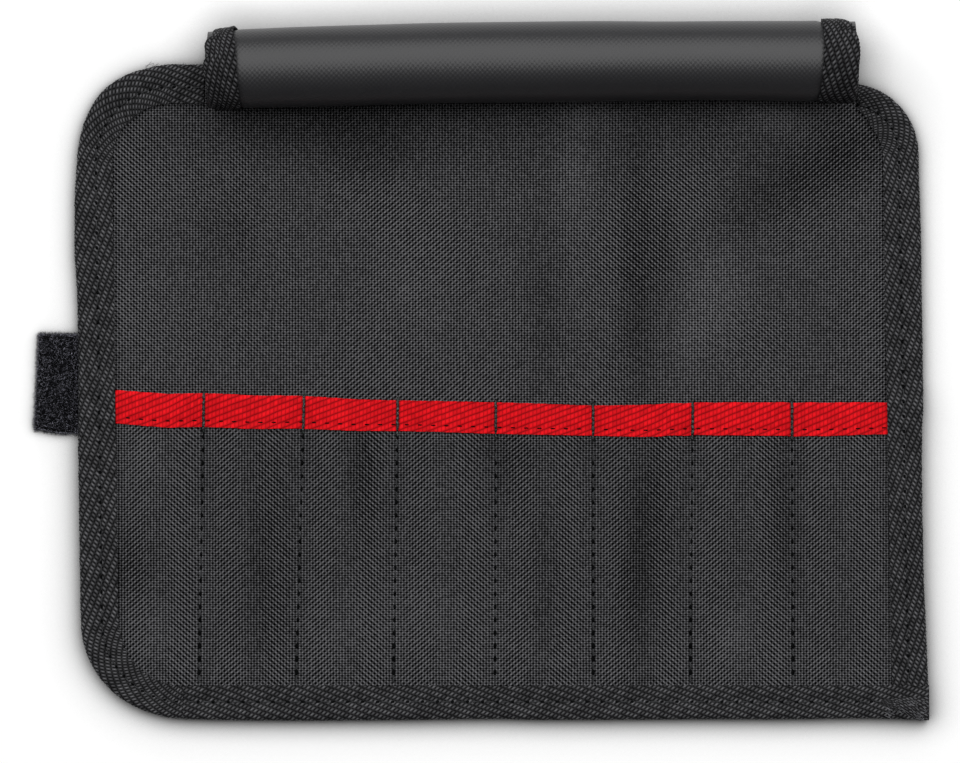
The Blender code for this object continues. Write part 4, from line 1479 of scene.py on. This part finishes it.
@dataclass
class EdgeBinding:
    """The folded tape round the body, in three runs, with its stitching."""

    shop: SubAssembly
    section: FoldedTape = field(default_factory=FoldedTape)
    station: float = 0.45 * MM
    across_steps: int = 44
    beads: float = 0.09 * MM  # the weave's beads along the fold
    bead_pitch: float = 1.06 * MM
    rough: float = 0.16 * MM  # the fold's own roughness
    rough_span: float = 1.6 * MM
    waver: float = 0.28 * MM  # unevenness of the selvedge
    waver_span: float = 17.0 * MM
    stitch_pitch: float = 4.4 * MM
    stitch: Stitch = (3.1 * MM, 0.36 * MM, 0.42 * MM)
    lock: Stitch = (1.3 * MM, 0.65 * MM, 0.30 * MM)  # knot at each hole, painted near-black as the hole's shade
    filament: Stitch = (1.7 * MM, 0.13 * MM, 0.25 * MM)
    stitch_rise: float = 0.08 * MM  # a thread's middle above the groove
    lock_sink: float = 0.25 * MM  # a knot's middle below the thread's
    filament_rise: float = 0.22 * MM
    filament_spread: float = 25.0  # of their directions, in degrees
    hole: float = 0.35 * MM  # depth of a needle hole
    hole_radius: float = 0.55 * MM
    turn_loss: float = 3.4 * MM  # face lost where the right tape turns under the flap's
    turn_run: float = 14.0 * MM
    joint: float = 0.06 * MM  # between two runs of the one tape
    end_gap: float = 0.3 * MM  # from a run's last point to the flap's edge
    end_room: float = 1.5 * MM  # kept free of the corner's own points before it
    corner_steps: int = 60
    tuck_steps: tuple[int, int] = (40, 20)
    tuck_thickness: float = 0.35 * MM
    tuck_gap: float = 0.10 * MM
    tuck_crease: float = 0.22 * MM
    # The tape's last end, tucked over the square corner: across from the corner, its lower and
    # its upper edge above the bottom, in mm
    tuck: tuple[tuple[float, float, float], ...] = (
        (-14.0, 5.2, 6.6), (-10.5, 3.4, 7.0), (-7.0, 2.0, 7.4), (-4.2, 1.3, 7.2), (-3.2, 0.5, 7.2),
        (-0.2, 0.4, 7.6),
    )
    # Cut filaments: across, up, spread across, spread up, all in mm, how many, lean in degrees
    frays: tuple[tuple[float, ...], ...] = (
        (242.0, 3.8, 5.5, 2.6, 40, -32.0), (246.6, 1.8, 1.4, 1.0, 12, 0.0),
        (20.1, 193.3, 1.2, 0.3, 4, 40.0), (28.9, 193.2, 1.0, 0.3, 3, 60.0),
    )
    seed: int = 5
    # How far each tape's fold stands out from the plain outline: run along the tape, both in mm
    waver_out: dict[str, tuple[tuple[float, float], ...]] = field(default_factory=lambda: {
        "left": (
            (0.0, 1.00), (10.0, 0.80), (18.0, 0.55), (22.0, 0.85), (29.5, 1.05), (33.5, 0.90),
            (37.4, 0.45), (41.3, 0.15), (45.2, -0.20), (53.0, -0.35), (58.0, 0.05), (64.0, 0.45),
            (70.0, 0.60), (81.5, 0.75), (87.4, 0.40), (99.0, 0.10), (125.0, 0.25), (143.0, 0.45),
            (196.0, 0.35), (208.0, -0.10), (216.0, -0.50), (224.5, -0.95), (237.0, -0.95),
        ),
        "bottom": ((0.0, -0.85), (12.0, -0.50), (34.0, -0.35), (60.0, -0.50), (92.0, -0.85),
                   (106.0, -0.55), (150.0, -0.75), (178.0, -0.75), (200.0, -1.00), (218.0, -0.55)),
        "right": (
            (0.0, 0.0), (13.0, -0.30), (27.0, -0.65), (34.0, -0.80), (62.0, -0.80), (76.0, -0.45),
            (84.0, 0.0), (119.0, 0.15), (133.0, 0.20), (154.0, -0.10), (170.0, 0.0),
        ),
    })

    def face(self, base: Vector, run: float) -> float:
        """How far the tape reaches in from the edge.

        Args:
            base: The edge point.
            run: How far along the tape it is.

        Returns:
            The reach.
        """
        plan = self.shop.plan
        beside = abs(base.x - plan.flap_right)
        corner = plan.top_right_corner
        at_top = ease((base.y - corner.centre.y) / corner.radius)
        turn = 1.0 - ease(beside / self.turn_run)
        wave = self.waver * noise.noise(Vector((run / self.waver_span, base.x * 9.0, 2.0)))
        return plan.tape_face - self.turn_loss * turn * at_top + wave

    def surface(self, name: str, path: EdgePath, run: float, share: float, layer: int) -> Vector:
        """A point of a named tape on its run round the edge.

        Args:
            name: Which tape.
            path: Its run.
            run: How far along it.
            share: Place round the section, from 0 to 1.
            layer: 0 for the inner face, 1 for the outer.

        Returns:
            The point.
        """
        plan = self.shop.plan
        base, inward = path.at(run)
        face = self.face(base, run)
        depth, height, out, rise = self.section.at(share, face, plan.tape_top(base.x, base.y))
        if rise >= 0.0 and depth > self.section.round_over:
            nearest = (run / self.stitch_pitch + 0.5) % 1.0 - 0.5
            away = math.hypot(nearest * self.stitch_pitch, depth - self.section.stitch_depth)
            height -= self.hole * hump(away, self.hole_radius)
        bead = self.beads * math.cos(math.tau * run / self.bead_pitch)
        bead += self.rough * noise.noise(Vector((run / self.rough_span, base.y * 7.0, 5.0)))
        inner = 0.0 if layer else self.section.thickness
        depth += (bead * abs(out) - inner) * out
        depth -= read_smooth(self.waver_out[name], run / MM, 1) * MM * (1.0 - depth / face)
        height -= inner * rise
        return Vector((*(base + inward * depth), max(height, 0.02 * MM)))

    def tape(self, name: str, path: EdgePath) -> Piece:
        """One run of tape, from its flat strip.

        Args:
            name: Which tape.
            path: Its run.

        Returns:
            The piece.
        """
        plan = self.shop.plan
        steps = round(path.length / self.station)
        width = self.section.flat_width(plan.tape_face, plan.full_top)
        mesh = flat_strip(steps, self.across_steps, path.length, width)
        lay_out(mesh, lambda along, up, layer: self.surface(name, path, along * path.length,
                                                            up, layer))
        return self.shop.dress(f"{name}_tape", mesh, self.shop.finishes.tape, [f"{name}_binding"])

    def stitches(self, paths: Sequence[EdgePath]) -> list[Piece]:
        """The stitch row on the tapes' upper face, with the knots in its holes.

        Args:
            paths: The tapes' runs.

        Returns:
            The stitches, and the knots at their holes, painted near-black as the holes' shade.
        """
        plan = self.shop.plan
        places, holes = [], []
        for path in paths:
            for count in range(int(path.length / self.stitch_pitch)):
                run = (count + 0.5) * self.stitch_pitch
                base, inward = path.at(run)
                ahead, _ = path.at(run + MM)
                top = plan.tape_top(base.x, base.y)
                level = top - self.section.dip / 3.0 - self.section.groove + self.stitch_rise
                along = Vector((*(ahead - base), 0.0))
                if along.length < 0.5 * MM:
                    continue
                point = base + inward * self.section.stitch_depth
                places.append(axes(Vector((*point, level)), along, UP))
                ahead, inward = path.at(run + self.stitch_pitch / 2.0)
                point = ahead + inward * self.section.stitch_depth
                holes.append(axes(Vector((*point, level - self.lock_sink)), along, UP))
        finishes = self.shop.finishes
        return [self.shop.sew("binding_stitches", self.stitch, places, finishes.thread),
                self.shop.sew("binding_locks", self.lock, holes, finishes.sunk)]

    def shoulder(self, depth: float, top: float) -> float:
        """Height of a tape's outer face at a depth from its fold."""
        bend = self.section.round_over
        return top - bend + math.sqrt(bend ** 2 - min(max(bend - depth, 0.0), bend) ** 2)

    def tucked_end(self) -> Piece:
        """The tape's last end, which is tucked over the square corner.

        Returns:
            The piece.
        """
        plan = self.shop.plan
        run = (self.tuck[-1][0] - self.tuck[0][0]) * MM
        mesh = flat_strip(*self.tuck_steps, run, plan.tape_face)

        def place(along: float, up: float, layer: int) -> Vector:
            """Where a point of the flat strip lies."""
            across = self.tuck[0][0] + run / MM * along
            low, high = (read_smooth(self.tuck, across, column) for column in (1, 2))
            ragged = 0.25 * noise.noise(Vector((across, up * 3.0, 9.0)) * 1.4)
            height = (low + (high - low) * up + ragged * (1.0 - up)) * MM
            rim = min(along, up, 1.0 - up) * 6.0
            crease = self.tuck_crease * noise.noise(Vector((across, height / MM, 1.0)) / 1.8)
            thick = self.tuck_gap + (self.tuck_thickness + crease) * ease(rim)
            level = self.shoulder(height, plan.full_top) - self.section.dip / 2.0
            return Vector((plan.width + across * MM, height, level + (thick if layer else 0.0)))

        lay_out(mesh, place)
        return self.shop.dress("tucked_end", mesh, self.shop.finishes.tape)

    def filaments(self) -> Piece:
        """Cut and worn filaments that stand out of the tape.

        Returns:
            The piece.
        """
        plan = self.shop.plan
        chance = random.Random(self.seed)
        places = []
        for across, up, wide, tall, count, lean in self.frays:
            for _ in range(int(count)):
                point = Vector((chance.uniform(-wide, wide) + across,
                                chance.uniform(-tall, tall) + up)) * MM
                depth = max(plan.edge_distance(point), 0.0)
                level = self.shoulder(depth, plan.tape_top(point.x, point.y))
                turn = math.radians(lean + chance.gauss(0.0, self.filament_spread))
                along = Vector((math.cos(turn), math.sin(turn), chance.uniform(-0.1, 0.2)))
                size = Vector((chance.uniform(0.6, 1.7), 1.0, 1.0))
                centre = Vector((*point, level + self.filament_rise))
                places.append(axes(centre, along, UP, size))
        return self.shop.sew("tape_filaments", self.filament, places, self.shop.finishes.filament)

    def paths(self) -> dict[str, EdgePath]:
        """The three runs: along the bottom, up the right edge, and round the left.

        Returns:
            Each run by the tape's name.
        """
        plan = self.shop.plan
        foot = plan.bottom_left_corner.stations(self.corner_steps)
        start = foot[-1][0].x + self.joint
        bottom = [(plan.bottom.at_width(start), plan.bottom.inward),
                  (plan.bottom.at_width(plan.width), plan.bottom.inward)]
        head = plan.top_left_corner.stations(self.corner_steps)
        left = [(plan.top.at_width(plan.flap_left - self.end_gap), plan.top.inward)]
        left += [item for item in head if item[0].x < plan.flap_left - self.end_room]
        left += foot
        corner = plan.top_right_corner.stations(self.corner_steps)
        right = [(plan.right.at_height(plan.tape_face + self.joint), plan.right.inward)]
        right += [item for item in corner if item[0].x > plan.flap_right + self.end_room]
        right.append((self.top_outline(plan.flap_right + self.end_gap), Vector((0.0, -1.0))))
        return {"bottom": EdgePath(bottom), "left": EdgePath(left), "right": EdgePath(right)}

    def top_outline(self, across: float) -> Vector:
        """Where the body's top outline stands at a place across.

        Args:
            across: The place across.

        Returns:
            The point of the outline.
        """
        plan = self.shop.plan
        height = plan.top.at_width(across).y
        corner = plan.top_right_corner
        beside = across - corner.centre.x
        if corner.holds(Vector((across, height))) and abs(beside) < corner.radius:
            height = corner.centre.y + math.sqrt(corner.radius ** 2 - beside ** 2)
        return Vector((across, height))

    def build(self) -> list[Piece]:
        """Build the three tapes and their stitching.

        Returns:
            The pieces.
        """
        paths = self.paths()
        pieces = [self.tape(side, path) for side, path in paths.items()]
        pieces += [*self.stitches(list(paths.values())), self.tucked_end(), self.filaments()]
        return pieces


# ---------------------------------------------------------------- the rolled flap


@dataclass
class RolledFlap:
    """The narrow flap, wound one and a half turns, with folded tape on its two side edges."""

    shop: SubAssembly
    section: FoldedTape = field(default_factory=lambda: FoldedTape(
        round_over=1.3 * MM, dip=0.35 * MM, groove=0.22 * MM))
    thickness: float = 0.8 * MM
    cloth: float = 1.0 * MM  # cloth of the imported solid, which the tape goes round
    roll_width: float = 23.3 * MM
    pitch: float = 4.7 * MM  # from one turn of the roll to the next
    squash: float = 0.85
    back: float = 11.8 * MM
    turns: float = 1.44
    start_angle: float = math.radians(-60.0)
    step_angle: float = math.radians(3.0)
    seam_run: float = 1.5 * MM
    neck: float = 0.4 * MM  # the cloth lies this much deeper under the tapes
    neck_run: float = 1.6 * MM
    gap: float = 0.3 * MM
    along_steps: int = 150
    tape_steps: int = 40
    end_neck: float = 0.6 * MM  # the fold's own edge draws in by this much
    dent: float = 0.25 * MM  # unevenness of the cloth along the roll
    dent_span: float = 30.0 * MM
    beads: float = 0.09 * MM
    bead_pitch: float = 1.06 * MM
    # Roll along its length: share of the flap's width, back and size as shares
    sections: tuple[tuple[float, float, float], ...] = (
        (0.00, 0.800, 0.990), (0.15, 0.885, 1.000), (0.30, 0.958, 1.008), (0.45, 1.005, 1.010),
        (0.62, 1.030, 1.008), (0.72, 1.026, 0.990), (0.85, 1.022, 0.992), (1.00, 1.055, 1.030),
    )
    # How far each end's fold and its selvedge stand toward the roll's middle, by the angle
    # round the roll in degrees, in mm
    left_end: tuple[tuple[float, float, float], ...] = (
        (-60.0, 2.6, 0.0), (0.0, 2.6, -1.8), (25.0, 2.4, -1.8), (33.0, 1.6, -1.7),
        (40.0, 0.8, -1.5), (47.0, 0.6, -1.3), (60.0, 1.1, -1.0), (66.0, 1.4, -0.9),
        (72.0, 0.5, -0.8), (80.0, 0.35, -0.7), (90.0, 0.55, -0.6), (104.0, 0.85, -0.4),
        (117.0, 1.2, -0.2), (145.0, 2.0, 0.1), (170.0, 2.5, 0.3), (300.0, 2.6, 0.0),
        (460.0, 1.2, 0.0),
    )
    right_end: tuple[tuple[float, float, float], ...] = (
        (-60.0, 4.0, 0.0), (0.0, 4.2, 0.4), (12.0, 3.0, 0.4), (25.0, 1.8, 0.3), (34.0, 1.3, 0.2),
        (41.0, 1.9, 0.1), (47.0, 1.0, 0.1), (55.0, 0.6, 0.1), (72.0, 0.3, 0.2), (97.0, 0.65, 0.5),
        (120.0, 0.75, 0.8), (148.0, 0.9, 1.3), (170.0, 1.2, 1.4), (300.0, 1.5, 0.5),
        (460.0, 1.2, 0.0),
    )

    def centre_line(self, across: float, edge_depth: float) -> list[Vector]:
        """The flap's outer face at a place across, as points of Y and Z.

        Args:
            across: Place across the body.
            edge_depth: Distance from the flap's nearer side edge.

        Returns:
            Points from the seam with the body, once and a half round the roll.
        """
        plan = self.shop.plan
        share = (across - plan.flap_left) / (plan.flap_right - plan.flap_left)
        back = plan.height + self.back * read_smooth(self.sections, share, 1)
        ends = self.left_end if share < 0.5 else self.right_end
        size = self.roll_width * read_smooth(self.sections, share, 2)
        radius = size / 2.0 + self.pitch / 4.0
        middle_y = back - radius
        middle_z = plan.lie + self.squash * (radius + self.pitch / 4.0)
        start = plan.top.at_width(across).y - plan.cloth_inset + self.gap
        points = [Vector((start, plan.lie)), Vector((start + self.seam_run, plan.lie))]
        for step in range(round(self.turns * math.tau / self.step_angle) + 1):
            angle = self.start_angle + self.step_angle * step
            selvedge = plan.tape_face + read_smooth(ends, math.degrees(angle), 2) * MM
            neck = self.neck * (1.0 - ease((edge_depth - selvedge) / self.neck_run))
            reach = radius - neck - self.pitch * angle / math.tau
            points.append(Vector((middle_y + reach * math.cos(angle),
                                  middle_z + self.squash * reach * math.sin(angle))))
        return points

    def angle_of(self, index: int) -> float:
        """Angle round the roll of a point of the centre line, in degrees."""
        return math.degrees(self.start_angle + self.step_angle * max(index - 2, 0))

    @staticmethod
    def inward_at(points: Sequence[Vector], index: int) -> Vector:
        """Direction into the roll at a point of a line.

        Args:
            points: The line.
            index: Number of the point.

        Returns:
            The direction.
        """
        before, after = points[max(index - 1, 0)], points[min(index + 1, len(points) - 1)]
        run = (after - before).normalized()
        return Vector((-run.y, run.x))

    def flat_length(self) -> float:
        """Length of the flap before it was rolled.

        Returns:
            The length.
        """
        plan = self.shop.plan
        points = self.centre_line((plan.flap_left + plan.flap_right) / 2.0, 1.0)
        return sum((after - before).length for before, after in zip(points, points[1:]))

    def roll(self) -> Piece:
        """The flap's cloth, its coated face outward.

        Returns:
            The piece.
        """
        plan = self.shop.plan
        inset = plan.cloth_inset
        low, high = plan.flap_left + inset, plan.flap_right - inset
        lines = []
        for step in range(self.along_steps + 1):
            across = low + (high - low) * step / self.along_steps
            depth = min(across - plan.flap_left, plan.flap_right - across)
            lines.append((across, self.centre_line(across, depth)))
        last = len(lines[0][1]) - 1
        mesh = flat_strip(self.along_steps, last, high - low, self.flat_length())

        def place(along: float, up: float, layer: int) -> Vector:
            """Where a point of the flat strip lies."""
            across, points = lines[round(along * self.along_steps)]
            index = round(up * last)
            inward = self.inward_at(points, index)
            dent = self.dent * noise.noise(Vector((across / self.dent_span, index / 22.0, 7.0)))
            dent *= ease((index - 8) / 12.0)
            point = points[index] + inward * (dent + (0.0 if layer else self.thickness))
            return Vector((across, point.x, point.y))

        lay_out(mesh, place)
        return self.shop.dress("flap_cloth", mesh, self.shop.finishes.coated, ["rolled_flap"])

    def end_tape(self, side: Side) -> Piece:
        """The folded tape on one side edge of the flap, round the roll.

        Args:
            side: Which edge.

        Returns:
            The piece.
        """
        plan = self.shop.plan
        edge = plan.flap_left if side is Side.LEFT else plan.flap_right
        total = self.cloth + 2.0 * plan.lie
        ends = self.left_end if side is Side.LEFT else self.right_end
        columns = []
        for step in range(self.tape_steps + 1):
            depth, height, out, rise = self.section.at(
                step / self.tape_steps, plan.tape_face, total)
            columns.append((depth, height, out, rise,
                            self.centre_line(edge + side.value * depth, depth)))
        last = len(columns[0][4]) - 1
        length = self.flat_length()
        mesh = flat_strip(last, self.tape_steps, length,
                          self.section.flat_width(plan.tape_face, total))

        def place(along: float, up: float, layer: int) -> Vector:
            """Where a point of the flat strip lies."""
            depth, height, out, rise, points = columns[round(up * self.tape_steps)]
            index = round(along * last)
            angle = self.angle_of(index)
            near_fold = 1.0 - ease(depth / (plan.tape_face * 0.9))
            free = ease((index - 6) / 14.0)
            shift = near_fold * read_smooth(ends, angle, 1)
            shift += (1.0 - near_fold) * read_smooth(ends, angle, 2)
            bead = self.beads * math.cos(math.tau * along * length / self.bead_pitch)
            inner = 0.0 if layer else self.section.thickness
            level = total - plan.lie - height + inner * rise
            draw_in = self.end_neck * near_fold ** 2 * (height / total) * free
            point = points[index] + self.inward_at(points, index) * (level + draw_in)
            reach = depth + shift * MM * free + (bead * abs(out) - inner) * out
            return Vector((edge + side.value * reach, point.x, max(point.y, 0.02 * MM)))

        lay_out(mesh, place)
        name = side.name.lower()
        return self.shop.dress(f"flap_tape_{name}", mesh, self.shop.finishes.band,
                               [f"flap_binding_{name}"])

    def build(self) -> tuple[Piece, list[Piece]]:
        """Build the flap's cloth, and the tapes on it."""
        return self.roll(), [self.end_tape(side) for side in Side]


# ---------------------------------------------------------------- closure


@dataclass
class LoopTab:
    """The loop tab at the left edge: a napped strip with pile, sewn under the binding."""

    shop: SubAssembly
    foot: float = 85.4 * MM
    height: float = 29.3 * MM
    foot_fall: float = 1.1 * MM  # the lower edge falls this much toward the body
    reach: float = 13.2 * MM
    root: float = 9.0 * MM
    slant: float = 1.7 * MM
    base: float = 0.55 * MM
    pile: float = 1.5 * MM
    loops: int = 3600
    loop_length: float = 2.0 * MM
    loop_radius: float = 0.055 * MM
    bump: float = 0.14 * MM  # unevenness of the pile's low cushion
    bump_span: float = 1.1 * MM
    rim: float = 0.65 * MM  # the woven ground stays this far inside the pile
    fringe: float = 0.26  # share of the loops that stand at the rim
    seed: int = 11

    def edge(self, up: float) -> tuple[float, float]:
        """Where the tab's end and the body's edge stand across, at a share of its height."""
        body = self.shop.plan.left.at_height(self.foot + self.height * up).x
        return body - self.reach - self.slant * (0.5 - up), body

    def level_at(self, across: float, end: float, up: float) -> float:
        """Height on the plan of a place on the tab, at a share of its own height."""
        low = self.foot + self.rim - self.foot_fall * ease((across - end) / (0.6 * self.reach))
        return low + (self.foot + self.height - self.rim - low) * up

    def strip(self) -> Piece:
        """The woven ground of the tab with its low cushion of pile.

        Returns:
            The piece.
        """
        mesh = flat_strip(46, 60, self.reach + self.root, self.height)

        def place(along: float, up: float, layer: int) -> Vector:
            """Where a point of the flat strip lies."""
            end, body = self.edge(up)
            end += self.rim
            across = end + (body + self.root - end) * along
            height = self.level_at(across, end, up)
            rim = min(across - end, height - self.level_at(across, end, 0.0),
                      self.level_at(across, end, 1.0) - height)
            nap = 1.0 - ease((across - body + 1.6 * MM) / (1.2 * MM))
            bumps = self.bump * noise.noise(Vector((across, height, 0.0)) / self.bump_span)
            cushion = (self.pile * 0.6 + bumps) * ease(rim / (0.9 * MM) + 0.25) * nap
            return Vector((across, height, 0.04 * MM + (self.base + cushion) * layer))

        lay_out(mesh, place)
        return self.shop.dress("tab_strip", mesh, self.shop.finishes.ground, ["loop_tab"])

    def fuzz(self) -> Piece:
        """The single loops of the pile, the outer ones standing past the edge.

        Returns:
            The piece.
        """
        mesh = thin_rod(3, self.loop_radius, self.loop_radius * 0.7, self.loop_length, 3,
                        Matrix.Identity(4))
        for vertex in mesh.verts:
            up = vertex.co.z / self.loop_length + 0.5
            vertex.co.x += 0.45 * self.loop_length * up ** 2
            vertex.co.z -= 0.22 * self.loop_length * up ** 3
        shape = template_mesh(mesh)
        chance = random.Random(self.seed)
        places = []
        for _ in range(self.loops):
            up, share = chance.random(), chance.random()
            outward = Vector((0.0, 0.0, 0.0))
            if chance.random() < self.fringe:
                side = chance.choice((0, 0, 1, 2))
                share = 0.0 if side == 0 else share
                up = (up, 0.0, 1.0)[side]
                outward = Vector(((-1.0, 0.0, 0.0), (0.0, -1.0, 0.0), (0.0, 1.0, 0.0))[side])
            end, body = self.edge(up)
            across = end + self.rim + (body - self.rim - end) * share
            height = self.level_at(across, end + self.rim, up)
            lean = Vector((chance.gauss(0.0, 1.0), chance.gauss(0.0, 1.0), 0.8))
            lean += outward * chance.uniform(0.8, 3.4)
            level = self.base + self.pile * chance.uniform(0.55, 0.85)
            if outward.length > 0.0:
                level = self.base + self.pile * chance.uniform(0.0, 0.5)
            size = chance.uniform(0.5, 1.1)
            turn = Matrix.Rotation(chance.uniform(0.0, math.tau), 4, 'Z')
            place = axes(Vector((across, height, level)), lean.orthogonal(), lean,
                         Vector((size, size, size)))
            places.append(place @ turn)
        pile = scatter(shape, places)
        for vertex in pile.verts:
            vertex.co.z = max(vertex.co.z, 0.05 * MM)
        return self.shop.dress("tab_pile", pile, self.shop.finishes.pile)

    def build(self) -> list[Piece]:
        """Build the tab's strip and its pile."""
        return [self.strip(), self.fuzz()]


@dataclass
class HookPatch:
    """The hook patch on the back, which the tab fastens to when the roll is closed."""

    shop: SubAssembly
    plate_low: float = 0.50 * MM
    plate_high: float = 0.98 * MM
    corner: float = 3.0 * MM
    margin: float = 1.5 * MM  # bare rim of the plate
    hook_pitch: tuple[float, float] = (1.3 * MM, 1.7 * MM)
    hook_height: float = 0.44 * MM
    hook_radius: float = 0.11 * MM

    def plate(self) -> Piece:
        """The moulded plate, with rounded corners.

        Returns:
            The piece.
        """
        centre, half = self.shop.plan.patch_centre, self.shop.plan.patch_half
        mesh = bmesh.new()
        thick = self.plate_high - self.plate_low
        middle = (self.plate_high + self.plate_low) / 2.0
        bmesh.ops.create_cube(mesh, size=1.0)
        bmesh.ops.scale(mesh, verts=mesh.verts, vec=(2.0 * half[0], 2.0 * half[1], thick))
        bmesh.ops.translate(mesh, verts=mesh.verts, vec=(*centre, middle))
        upright = [edge for edge in mesh.edges
                   if abs(edge.verts[0].co.z - edge.verts[1].co.z) > thick / 2.0]
        bmesh.ops.bevel(mesh, geom=upright, offset=self.corner, segments=6, profile=0.5,
                        affect='EDGES', material=-1)
        return self.shop.dress("hook_plate", mesh, self.shop.finishes.hook, ["hook_patch"])

    def hooks(self) -> Piece:
        """The rows of small hooks, pointing down.

        Returns:
            The piece.
        """
        mesh = thin_rod(5, self.hook_radius, self.hook_radius * 0.8, self.hook_height, 3,
                        Matrix.Identity(4))
        for vertex in mesh.verts:
            down = 0.5 - vertex.co.z / self.hook_height
            vertex.co.x += 0.35 * self.hook_height * down ** 3
        shape = template_mesh(mesh)
        centre, half = self.shop.plan.patch_centre, self.shop.plan.patch_half
        counts = [int(2.0 * (size - self.margin) / pitch)
                  for size, pitch in zip(half, self.hook_pitch)]
        places = []
        for row in range(counts[1]):
            for column in range(counts[0]):
                across = centre[0] + (column - (counts[0] - 1) / 2.0) * self.hook_pitch[0]
                up = centre[1] + (row - (counts[1] - 1) / 2.0) * self.hook_pitch[1]
                point = Vector((across, up, self.plate_low - self.hook_height / 2.0))
                side = Matrix.Rotation(math.pi * (row % 2), 4, 'Z')
                places.append(Matrix.Translation(point) @ side)
        return self.shop.dress("hooks", scatter(shape, places), self.shop.finishes.hook)

    def build(self) -> list[Piece]:
        """Build the plate and its hooks."""
        return [self.plate(), self.hooks()]


# ---------------------------------------------------------------- studio


@dataclass
class Studio:
    """A white table, one broad soft light from the photo's top, and the overhead camera."""

    floor_size: float = 8.0
    floor_colour: str = "#f6f6f6"
    contact: float = 14.0 * MM  # the table's contact shade reaches this far
    depth: float = 1.5  # how deep it is
    camera_height: float = 1.60
    focus_height: float = 4.0 * MM
    photo_mm_across: float = PHOTO_WIDTH_PX / 3.4
    sensor_mm: float = 36.0
    aim: tuple[float, float] = (-0.09 * MM, -2.68 * MM)
    key_place: tuple[float, float, float] = (0.0, 1.127, 2.119)
    key_size: tuple[float, float] = (9.6, 3.0)
    key_power: float = 218.0
    room_strength: float = 0.06  # light that the room gives
    wall_brightness: float = 0.80  # how bright its far walls look

    def floor(self) -> None:
        """The white table top."""
        material, tree, shader = new_material("white_table")
        closed_in = add_node(tree, "AmbientOcclusion", {"Distance": self.contact}, samples=8)
        shade = add_node(tree, "Math", {0: closed_in.outputs["AO"], 1: self.depth},
                         operation="POWER")
        colour = add_node(tree, "Mix",
                          {0: shade.outputs[0], 6: linear("#000000"), 7: linear(self.floor_colour)},
                          data_type="RGBA")
        tree.links.new(colour.outputs[2], shader.inputs["Base Color"])
        shader.inputs["Roughness"].default_value = 0.9
        shader.inputs["Specular IOR Level"].default_value = 0.0
        mesh = bmesh.new()
        bmesh.ops.create_grid(mesh, x_segments=2, y_segments=2, size=self.floor_size / 2.0)
        data = keep("table", mesh)
        data.materials.append(material)
        add_object("table", data)

    def lights(self) -> None:
        """The broad soft light and the room's own."""
        data = bpy.data.lights.new("key", 'AREA')
        data.shape = 'RECTANGLE'
        data.size, data.size_y = self.key_size
        data.energy = self.key_power
        key = add_object("key", data)
        key.location = self.key_place
        key.rotation_euler = (-Vector(self.key_place)).to_track_quat('-Z', 'Y').to_euler()
        world = bpy.data.worlds.new("room")
        world.use_nodes = True
        background = world.node_tree.nodes["Background"]
        background.inputs["Color"].default_value = (1.0, 1.0, 1.0, 1.0)
        seen = add_node(world.node_tree, "LightPath").outputs["Is Camera Ray"]
        strength = add_node(world.node_tree, "MapRange",
                            {"Value": seen, "To Min": self.room_strength,
                             "To Max": self.wall_brightness})
        world.node_tree.links.new(strength.outputs[0], background.inputs["Strength"])
        bpy.context.scene.world = world
        bpy.context.scene.view_settings.view_transform = 'Standard'

    def camera(self) -> None:
        """The camera straight above, framed as the photograph is."""
        data = bpy.data.cameras.new("camera")
        data.sensor_width = self.sensor_mm
        distance = self.camera_height - self.focus_height
        data.lens = self.sensor_mm * distance / (self.photo_mm_across * MM)
        data.clip_end = 10.0
        camera = add_object("camera", data)
        camera.location = (*self.aim, self.camera_height)
        bpy.context.scene.camera = camera

    def build(self) -> None:
        """Set up the floor, the lights and the camera."""
        self.floor()
        self.lights()
        self.camera()


def main() -> None:
    logging.basicConfig(level=logging.INFO, format="%(name)s %(message)s")
    plan = BodyPlan()
    shop = SubAssembly(plan, Finishes())
    body = BodyCloth(shop).build()
    pocket_cloth, on_pockets = Pockets(shop).build()
    binding = EdgeBinding(shop).build()
    flap = RolledFlap(shop)
    flap_cloth, flap_tapes = flap.build()
    tab = LoopTab(shop).build()
    patch = HookPatch(shop).build()
    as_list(on_pockets)
    flap.flat_length()
    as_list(flap_tapes)
    Studio().build()


if __name__ == "__main__":
    main()
